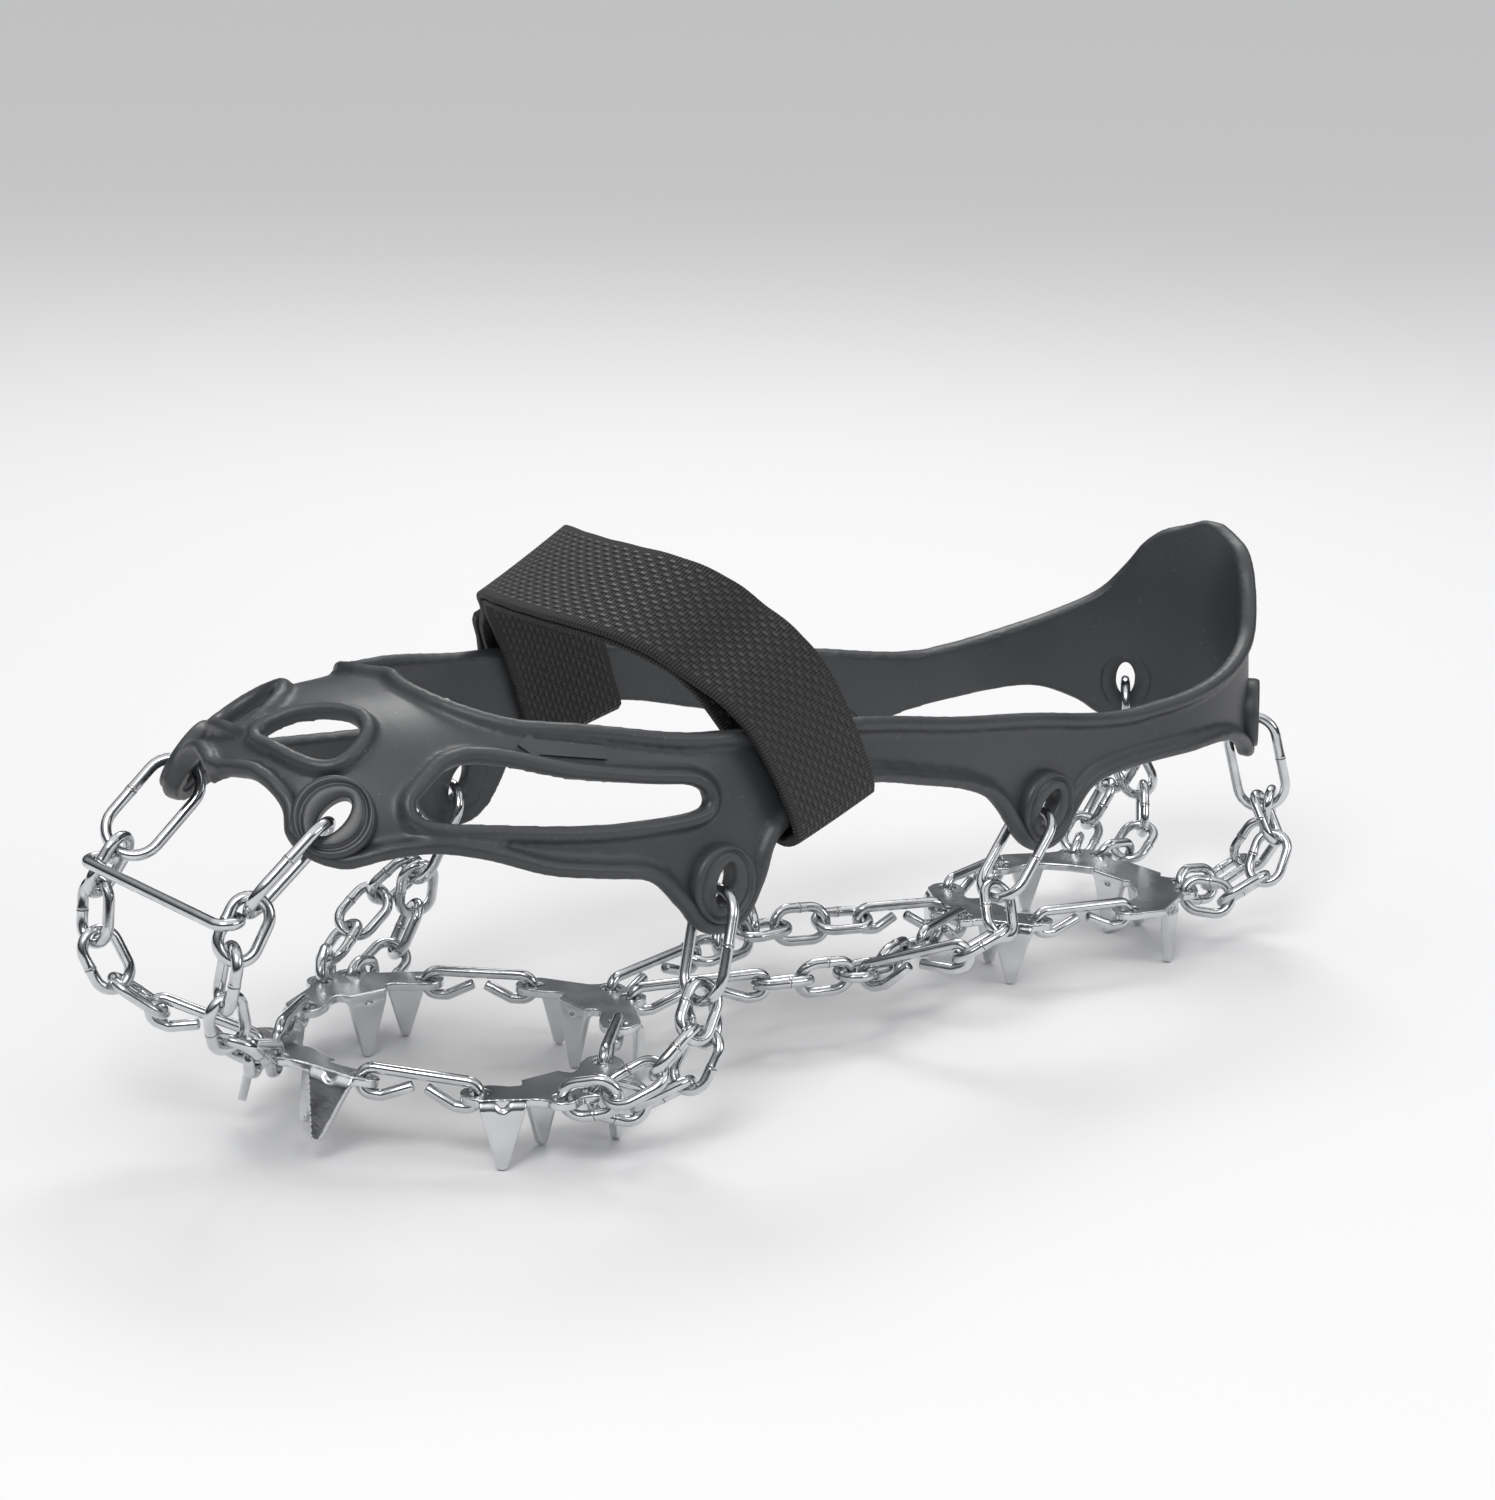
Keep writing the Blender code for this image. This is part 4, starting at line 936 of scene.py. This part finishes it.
make_run("branch_chain", strand_joints("arch", 0, EDGE, 2), eye_link("arch")[4],
         STRANDS["arch"][0][1])

half = Vector((0.0, LINK_PITCH / 2.0, 0.0))
front_end, back_end = JUNCTION - half, JUNCTION + half
ball_ear = plate_hole("plate_ball", -EAR_OFFSET, EAR_ROW)
heel_ear = plate_hole("plate_heel", EAR_OFFSET, EAR_ROW)
forward, backward = (ball_ear - front_end).normalized(), (heel_ear - back_end).normalized()
ahead = [front_end + forward * (LINK_PITCH * n) for n in (2, 1, 0)]
behind = [back_end + backward * (LINK_PITCH * n) for n in (0, 1, 2)]
make_run("long_chain_front", ahead, UP, (75.0, 15.0))
make_run("junction_link", [front_end, back_end], UP, (90.0,))
make_run("long_chain_rear", behind, UP, (15.0, 75.0))
print("links:", len(PIECES) - 2 * len(EYELETS) - 3)

# %% [markdown]
# The connectors join plate to plate, chain to plate, and the arch chain to the junction link. The
# toe bar is the same wire with a small open hook at each end, closed round the upper toe links.

# %% Connectors and toe bar
leg_place = JUNCTION + Vector(((LINK_WIDTH - WIRE) / 2.0, 0.0, 0.0))
outward = (EDGE - leg_place).normalized()
toe_ear = plate_hole("plate_toe", EAR_OFFSET, EAR_ROW)
CONNECTORS = {
    "connector_toe": (toe[4] - (toe_ear - toe[4]).normalized() * (LOOSE + HOOK_SLACK), toe_ear, UP),
    "connector_ball": (ball_ear, ahead[0] - forward * LOOSE, UP),
    "connector_heel": (behind[2] - backward * LOOSE, heel_ear, UP),
    "connector_branch": (EDGE + outward * (LOOSE + HOOK_SLACK),
                         leg_place - outward * (WIRE + HOOK_GAP + HOOK_SLACK / 2.0), UP),
}
for name, first, second in (
    ("connector_front", ("plate_toe", ARM_OFFSET, ARM_ROW), ("plate_side_left", -ARM_OFFSET, ARM_ROW)),
    ("connector_back", ("plate_side_left", ARM_OFFSET, ARM_ROW), ("plate_ball", -ARM_OFFSET, ARM_ROW)),
    ("connector_rear", ("plate_heel", ARM_OFFSET, ARM_ROW), ("plate_rear", -REAR_ARM, 0.0)),
):
    CONNECTORS[name] = (plate_hole(*first), plate_hole(*second), plate_up(first[0]) + plate_up(second[0]))
for name, (start, end, up) in CONNECTORS.items():
    both_sides(name, connector_mesh(start, end, up), wire_and_weld, "wire", [name])


def bar_mesh():
    side = turned_side(toe[0], toe[1], toe_normal, toe_turns[0])
    middle, reach = toe[0].lerp(toe[1], 0.5), (LINK_WIDTH - WIRE) / 2.0
    leg = min((middle + side * reach, middle - side * reach), key=lambda point: point.x)
    inward, forward = Vector((-1.0, 0.0, 0.0)), Vector((0.0, -1.0, 0.0))
    angle = math.radians(280.0)
    spoke = inward * math.cos(angle) + forward * math.sin(angle)
    heading = inward * math.sin(angle) - forward * math.cos(angle)
    begin = leg + spoke * HOOK_RADIUS
    wire = WireBender(begin, heading, -spoke)
    wire.bend(190.0, HOOK_RADIUS, 16).straight(2.0 * leg.x).bend(190.0, HOOK_RADIUS, 16)
    wire.cut_ends(begin, heading)
    return wire.finished()


make_piece("toe_bar", bar_mesh(), wire_steel, "wire", ["toe_bar"])
print("connectors:", 2 * len(CONNECTORS), "and the toe bar")

# %% [markdown]
# ## Spike plates
#
# A plate is blanked from 1.8 mm steel and its spikes are folded down through a small radius, with a
# dent pressed across each fold to stiffen it. Sheet and spikes are made as simple solids that
# overlap: the blank is a rounded outline with round holes, and a spike is a flat strip that is
# bent along a path. A fine remesh joins them, and smoothing gives the tumbled, slightly soft edges.

# %% The blank
PLATE_HOLE = 2.2


def round_end(u, v, radius, start, stop, steps):
    angles = [math.radians(start + (stop - start) * index / steps) for index in range(steps + 1)]
    return [(u + radius * math.cos(a), v + radius * math.sin(a)) for a in angles]


def both_halves(half):
    return half + [(-u, v) for u, v in reversed(half) if u > 0.01]


SMALL_HALF = (
    [(0.0, -8.3)] + round_end(EAR_OFFSET, EAR_ROW, 3.5, -110.0, 10.0, 8)
    + [(8.6, -3.6), (10.3, -2.6), (18.6, 2.4)] + round_end(ARM_OFFSET, ARM_ROW, 4.1, -20.0, 110.0, 8)
    + [(11.2, 8.2), (8.6, 5.4), (6.4, 4.6), (5.4, 5.6), (4.8, 7.2), (0.0, 7.2)]
)
SMALL_HOLES = [(s * u, v) for s in (1, -1) for u, v in ((EAR_OFFSET, EAR_ROW), (ARM_OFFSET, ARM_ROW))]
SMALL_SPIKES = [((14.45, -0.1), 31.0), ((-14.45, -0.1), 329.0), ((0.0, 6.36), 180.0)]
REAR_HALF = (
    [(6.2, -27.6), (8.0, -25.6), (10.2, -26.4)] + round_end(14.2, -26.0, 3.6, -130.0, -60.0, 5)
    + round_end(19.4, -22.0, 3.6, -60.0, 40.0, 6) + [(22.6, -17.4), (28.4, -6.0)]
    + round_end(REAR_ARM, 0.0, 4.2, -10.0, 160.0, 10)
    + [(18.6, -3.4), (16.4, -9.2), (12.0, -13.2), (8.0, -15.4), (6.4, -16.6), (5.2, -15.2)]
)
REAR_HOLES = [(s * u, v) for s in (1, -1) for u, v in REAR_EARS + ((REAR_ARM, 0.0),)]
REAR_SPIKES = [((25.0, -11.6), 63.0), ((-25.0, -11.6), -63.0), ((0.0, -16.04), 180.0), ((0.0, -26.76), 0.0)]


def blank(bm, half, holes):
    """Flat sheet with rounded outline and round holes, its upper face at z = 0."""
    knots = [bm.verts.new((u, v, 0.0)) for u, v in both_halves(half)]
    bm.faces.new(knots)
    bmesh.ops.bevel(bm, geom=knots, affect="VERTICES", offset=0.45, segments=3, profile=0.5,
                    material=-1)
    bmesh.ops.delete(bm, geom=bm.faces[:], context="FACES_ONLY")
    for u, v in holes:
        bmesh.ops.create_circle(bm, cap_ends=False, radius=PLATE_HOLE, segments=32,
                                matrix=Matrix.Translation((u, v, 0.0)))
    bmesh.ops.triangle_fill(bm, edges=bm.edges[:], use_beauty=True, use_dissolve=False)
    lifted = bmesh.ops.extrude_face_region(bm, geom=bm.faces[:])["geom"]
    bmesh.ops.translate(bm, verts=verts_of(lifted), vec=(0.0, 0.0, -SHEET_STEEL))


# %% [markdown]
# The spike's path runs level inside the sheet, turns down on a 1.7 mm radius and goes straight to
# the tip. The strip narrows on the way from 9.6 mm to a blunt point, and the dent is made by moving
# the middle of the fold towards its inside.

# %% The spikes
SPIKE, SPIKE_BASE, SPIKE_TIP, FOLD = 15.0, 9.6, 2.6, 1.7
ROOT, TIP_ROUND, DENT, DENT_HALF = 2.2, 1.3, 1.25, 1.5
ARC_RUN = FOLD * math.pi / 2.0


def spike_path(run):
    """Middle line of a spike: outward place, height and the angle turned, after a given run."""
    if run < ROOT:
        return -FOLD - ROOT + run, -SHEET_STEEL / 2.0, 0.0
    if run < ROOT + ARC_RUN:
        turn = (run - ROOT) / FOLD
        height = -SHEET_STEEL / 2.0 - FOLD * (1.0 - math.cos(turn))
        return -FOLD + FOLD * math.sin(turn), height, turn
    return 0.0, -SHEET_STEEL / 2.0 - FOLD - (run - ROOT - ARC_RUN), math.pi / 2.0


def spike_half(height):
    """Half width of the blade at a height."""
    fall = min(1.0, max(0.0, (-height - 2.0) / (SPIKE - 2.0 - TIP_ROUND)))
    left = max(0.0, SPIKE + height)
    if left > TIP_ROUND:
        return SPIKE_BASE / 2.0 + (SPIKE_TIP - SPIKE_BASE) / 2.0 * fall
    return SPIKE_TIP / 2.0 * math.sqrt(max(0.06, 1.0 - (1.0 - left / TIP_ROUND) ** 2))


def add_spike(bm, place, turn):
    length = ROOT + ARC_RUN + SPIKE - SHEET_STEEL / 2.0 - FOLD
    strip = bmesh.new()
    bmesh.ops.create_grid(strip, x_segments=22, y_segments=44, size=1.0)
    lifted = bmesh.ops.extrude_face_region(strip, geom=strip.faces[:])["geom"]
    bmesh.ops.translate(strip, verts=verts_of(lifted), vec=(0.0, 0.0, 1.0))
    seat = Matrix.Translation((*place, 0.0)) @ Matrix.Rotation(math.radians(turn), 4, "Z")
    for vertex in strip.verts:
        out, height, bent = spike_path((vertex.co.y + 1.0) / 2.0 * length)
        width = vertex.co.x * spike_half(height)
        layer = (vertex.co.z - 0.5) * (SHEET_STEEL - 0.06)
        folding = max(0.0, math.sin(2.0 * bent)) if bent < math.pi / 2.0 else 0.0
        tuck = DENT * max(0.0, 1.0 - abs(width) / DENT_HALF) * folding / math.sqrt(2.0)
        out += layer * math.sin(bent) - tuck
        height += layer * math.cos(bent) - tuck
        vertex.co = seat @ Vector((width, -out, height))
    bmesh.ops.recalc_face_normals(strip, faces=strip.faces)
    mesh = bpy.data.meshes.new("spike")
    strip.to_mesh(mesh)
    strip.free()
    bm.from_mesh(mesh)


def make_plate(name, half, holes, spikes):
    bm = bmesh.new()
    blank(bm, half, holes)
    for place, turn in spikes:
        add_spike(bm, place, turn)
    bmesh.ops.recalc_face_normals(bm, faces=bm.faces)
    bmesh.ops.transform(bm, matrix=PLATES[name], verts=bm.verts)
    return fuse(make_piece(name, bm, plate_steel, "plate", [name]), 0.27, 3, 0.4)


for name in PLATES:
    rear = name == "plate_rear"
    plate = make_plate(name, *((REAR_HALF, REAR_HOLES, REAR_SPIKES) if rear else
                               (SMALL_HALF, SMALL_HOLES, SMALL_SPIKES)))
    print(name, len(plate.data.polygons), "faces")

# %% [markdown]
# ## Strap
#
# The strap is 25 mm webbing, 1.6 mm thick. It starts under the ring, goes over the instep inside
# the harness, turns round its far edge, comes back outside it and is sewn round the ring. A few rows
# say where it goes: the side, the share of the way down, the height above the last and a drop. A
# smooth curve through the rows gives the sheet, and the UV map counts millimetres along it.

# %% Strap route
STRAP_TOP, STRAP_LOW = (-52.0, 90.0), flank(-16.5, 50.0)
STRAP_RUN, STRAP_BEND = 125.0, 0.3
UNDER, OVER = -5.1, 3.0
RING_LENGTH, RING_HEIGHT, RING_WIRE = 31.0, 15.0, 2.1
BAR_LOW, BAR_HIGH = (4.4, -4.7), (4.2, RING_HEIGHT - RING_WIRE - 4.7)
STRAP_HUG = RING_WIRE / 2.0 + STRAP_THICK / 2.0 + 1.2


def strap_point(side, share, across, offset, drop=0.0):
    run = (math.hypot(share, STRAP_BEND) - STRAP_BEND) / (math.hypot(1.0, STRAP_BEND) - STRAP_BEND)
    station = STRAP_TOP[0] + (STRAP_LOW[0] - STRAP_TOP[0]) * run + (0.89 + 0.03 * share) * across
    degrees = STRAP_TOP[1] + (STRAP_LOW[1] - STRAP_TOP[1]) * share + 0.07 * share * across
    _, upward = last_frame(station, degrees)
    return mirrored(on_last(station, degrees, offset) - upward * drop, side)


def layer_offset(share, low, high):
    degrees = STRAP_TOP[1] + (STRAP_LOW[1] - STRAP_TOP[1]) * share
    return low + (high - low) * smooth_step((degrees - 33.0) / 12.0)


def share_at(height):
    return 1.0 - height / STRAP_RUN


def strap_rows():
    rows = [(-1.0, 1.0, 6.0, 1.0), (-1.0, 1.0, 3.8, 1.4), (-1.0, 1.0, 0.6, 1.4), (-1.0, 1.0, -2.2, 1.4),
            (-1.0, 1.0, -4.3, 0.8), (-1.0, 1.0, -5.0, -0.6)]
    shares = [0.955, 0.86, 0.76, 0.66, 0.56, 0.46, 0.34, 0.22, 0.11]
    rows += [(-1.0, share, layer_offset(share, UNDER, -3.4), 0.0) for share in shares]
    rows += [(1.0, 0.0, -3.4, 0.0)]
    rows += [(1.0, share, layer_offset(share, UNDER, -3.4), 0.0) for share in reversed(shares)]
    rows += [(1.0, 1.0, -4.8, 0.4), (1.0, 1.0, -3.4, 1.6), (1.0, 1.0, -1.0, 2.1), (1.0, 1.0, 1.2, 1.6),
             (1.0, 1.0, 2.7, 0.4)]
    rows += [(1.0, share, layer_offset(share, OVER, -1.4), 0.0) for share in shares]
    rows += [(1.0, 0.0, -1.4, 0.0)]
    rows += [(-1.0, share, layer_offset(share, OVER, -1.4), 0.0) for share in reversed(shares[2:])]
    turn = [math.radians(angle) for angle in range(180, 361, 36)]
    rows += [(-1.0, share_at(BAR_HIGH[1] + 6.0), BAR_HIGH[0] - STRAP_HUG + 0.2, 0.0)]
    rows += [(-1.0, share_at(BAR_HIGH[1]), BAR_HIGH[0] + STRAP_HUG * math.cos(a), -STRAP_HUG * math.sin(a))
             for a in turn]
    rows += [(-1.0, share_at(BAR_HIGH[1] + 5.0), BAR_HIGH[0] + STRAP_HUG - 0.8, 0.0),
             (-1.0, share_at(BAR_HIGH[1] + 10.0), BAR_HIGH[0] + STRAP_HUG - 1.6, 0.0)]
    return rows


def tab_rows():
    rows = [(-1.0, 1.0, 7.3, 0.4), (-1.0, 1.0, 8.8, -0.8)]
    for height, offset in ((4.0, 9.6), (10.0, 9.7), (16.0, 9.0), (20.5, 8.1), (26.0, 6.6), (32.0, 5.5)):
        rows.append((-1.0, share_at(height), offset, 0.0))
    for height in (38.0, 44.0):
        rows.append((-1.0, share_at(height), layer_offset(share_at(height), OVER, -1.4) + 2.2, 0.0))
    return rows


def strap_line(rows, place, across):
    """Point of the strap at a fractional row: a smooth curve through the rows' own points."""
    index = min(int(place), len(rows) - 2)
    keys = [min(max(index + shift, 0), len(rows) - 1) for shift in (-1, 0, 1, 2)]
    a, b, c, d = (strap_point(*rows[key][:2], across, *rows[key][2:]) for key in keys)
    return catmull_rom(a, b, c, d, place - index)


# %% [markdown]
# The sheet is a grid. Its rows are spaced evenly by length, so the weave keeps its size, and the
# edges wander in and out by a tenth of a millimetre, as woven selvage does.

# %% Making the strap
FINE, STEP, COLUMNS = 8, 1.3, 14


def strap_piece(name, rows):
    fine = [strap_line(rows, index / FINE, 0.0) for index in range(FINE * (len(rows) - 1) + 1)]
    gone = [0.0]
    for first, second in zip(fine, fine[1:]):
        gone.append(gone[-1] + (second - first).length)
    length = gone[-1]
    count = int(length / STEP)
    bm = bmesh.new()
    bmesh.ops.create_grid(bm, x_segments=count, y_segments=COLUMNS, size=1.0)
    layer = bm.loops.layers.uv.new("UVMap")
    key = 0
    places = []
    for index in range(count + 1):
        run = length * index / count
        while key < len(gone) - 2 and gone[key + 1] < run:
            key += 1
        share = (run - gone[key]) / max(1e-9, gone[key + 1] - gone[key])
        places.append((key + share) / FINE)
    for face in bm.faces:
        for loop in face.loops:
            grid = loop.vert.co
            loop[layer].uv = ((grid.y + 1.0) / 2.0 * STRAP_WIDTH, (grid.x + 1.0) / 2.0 * length)
    for vertex in bm.verts:
        row, side = round((vertex.co.x + 1.0) / 2.0 * count), vertex.co.y
        edge = max(0.0, abs(side) - 0.85) / 0.15
        wave = 0.12 * edge * math.copysign(math.sin(row * STEP * 2.1), side)
        across = side * STRAP_WIDTH / 2.0 + wave
        vertex.co = strap_line(rows, places[row], across)
    piece = make_piece(name, bm, webbing, "webbing", [name])
    wall = piece.modifiers.new("wall", "SOLIDIFY")
    wall.thickness = STRAP_THICK * MM
    wall.offset = 0.0
    soft = piece.modifiers.new("soft", "BEVEL")
    soft.width = 0.35 * MM
    soft.segments = 2
    soft.limit_method = "ANGLE"
    soft.angle_limit = math.radians(60.0)
    bake_modifiers(piece)
    print(name, "is", round(length, 1), "mm long")


strap_piece("strap", strap_rows())
strap_piece("strap_tab", tab_rows())

# %% [markdown]
# The ring is a nickel-plated rectangle of 2.1 mm wire with round corners, so the wire bender makes
# it too. It stands with its lower bar below the harness edge and its upper bar in the strap's fold.

# %% Ring
def ring_mesh():
    low = strap_point(-1.0, 1.0, 0.0, BAR_LOW[0], -BAR_LOW[1])
    high = strap_point(-1.0, share_at(BAR_HIGH[1]), 0.0, BAR_HIGH[0])
    across = (strap_point(-1.0, 1.0, 6.0, 4.0) - strap_point(-1.0, 1.0, -6.0, 4.0)).normalized()
    upward = square_to(across, high - low)
    long_side, short_side, corner = RING_LENGTH - RING_WIRE, RING_HEIGHT - RING_WIRE, 4.0
    wire = WireBender((low + high) / 2.0 + upward * short_side / 2.0, across, -upward, RING_WIRE / 2.0)
    wire.straight(long_side / 2.0 - corner)
    for run in (short_side, long_side, short_side):
        wire.bend(90.0, corner, 8).straight(run - 2.0 * corner)
    wire.bend(90.0, corner, 8).straight(long_side / 2.0 - corner)
    return wire.finished()


make_piece("strap_ring", ring_mesh(), nickel, "nickel", ["strap_ring"])

# %% [markdown]
# The fold round the ring is sewn down with two rows of short stitches across the strap. A stitch is
# a rounded bar of thread that stands a little proud of the webbing.

# %% Stitches
def stitch_row(bm, height, offset, count=9):
    for index in range(count):
        across = (index - (count - 1) / 2.0) * 2.4
        first = strap_point(-1.0, share_at(height), across - 0.85, offset)
        second = strap_point(-1.0, share_at(height), across + 0.85, offset)
        along = (second - first).normalized()
        seat = along.to_track_quat("Z", "Y").to_matrix().to_4x4()
        seat.translation = (first + second) / 2.0
        made = bmesh.ops.create_icosphere(bm, subdivisions=2, radius=0.3)
        bmesh.ops.scale(bm, vec=(1.0, 1.0, 3.2), verts=made["verts"])
        bmesh.ops.transform(bm, matrix=seat, verts=made["verts"])


stitches = bmesh.new()
for height, lift in ((BAR_HIGH[1] + 7.6, -0.25), (BAR_HIGH[1] + 9.4, -0.55)):
    stitch_row(stitches, height, BAR_HIGH[0] + STRAP_HUG + lift)
make_piece("strap_stitches", stitches, thread, "webbing", body=BODY["strap"])

# %% [markdown]
# ## Floor, light and camera
#
# The cleat stands on its spikes as it would if a boot held it up, on a pale plain floor. The world is
# bright overhead and dark towards the horizon, because polished wire only shows its shape when it
# has both to reflect. Three large soft lamps give the shadows and the broad highlights.

# %% Studio
floor_bm = bmesh.new()
bmesh.ops.create_grid(floor_bm, x_segments=1, y_segments=1, size=6.0)
floor_mesh = bpy.data.meshes.new("floor")
floor_bm.to_mesh(floor_mesh)
floor_bm.free()
paper, tree, shader = new_finish("floor_paper", (0.80, 0.80, 0.805), 0.0, 0.85)
add_bump(tree, shader, noise_on(tree, 400.0), 0.00005, 0.3)
floor_mesh.materials.append(paper)
floor = new_object("floor", floor_mesh)
floor.location = (0.0, 0.0, -SPIKE * MM - 0.0002)

world = bpy.data.worlds.new("studio")
bpy.context.scene.world = world
world.use_nodes = True
sky = world.node_tree
direction = wired(sky, "TexCoord", {}, "Generated")
height = wired(sky, "SeparateXYZ", {"Vector": direction}, "Z")
bands = sky.nodes.new("ShaderNodeValToRGB")
sky.links.new(height, bands.inputs["Fac"])
sky.links.new(bands.outputs["Color"], sky.nodes["Background"].inputs["Color"])
horizon, zenith = bands.color_ramp.elements
horizon.position, horizon.color = 0.14, (0.015, 0.015, 0.018, 1.0)
zenith.position, zenith.color = 0.75, (1.0, 1.0, 1.0, 1.0)
bands.color_ramp.elements.new(0.42).color = (0.22, 0.23, 0.245, 1.0)
sky.nodes["Background"].inputs["Strength"].default_value = 0.95
bpy.context.scene.view_settings.view_transform = "Standard"


def soft_lamp(name, place, size, power):
    data = bpy.data.lights.new(name, "AREA")
    data.shape = "RECTANGLE"
    data.size, data.size_y = size
    data.energy = power
    lamp = new_object(name, data)
    lamp.location = place
    aim = Vector((0.0, 0.0, 0.03)) - Vector(place)
    lamp.rotation_euler = aim.to_track_quat("-Z", "Y").to_euler()


soft_lamp("key", (0.55, -0.75, 1.05), (0.5, 0.5), 7.0)
soft_lamp("fill", (1.0, 0.55, 0.55), (0.7, 0.4), 2.4)
soft_lamp("rim", (-0.6, 0.5, 0.9), (0.5, 0.4), 4.0)

target = Vector((0.0, 0.0, 0.050))
toward = Vector((0.746, -0.613, 0.2605)).normalized()
camera_data = bpy.data.cameras.new("camera")
camera_data.lens = 84.4
camera_data.sensor_width = 36.0
camera_data.sensor_fit = "HORIZONTAL"
camera = new_object("camera", camera_data)
camera.location = target + toward * 0.783
turn = (-toward).to_track_quat("-Z", "Y").to_matrix() @ Matrix.Rotation(math.radians(1.2), 3, "Z")
camera.rotation_euler = turn.to_euler()
bpy.context.scene.camera = camera

# %% [markdown]
# Last, the number of pieces is printed.

# %% Finish
print("pieces:", len(PIECES))
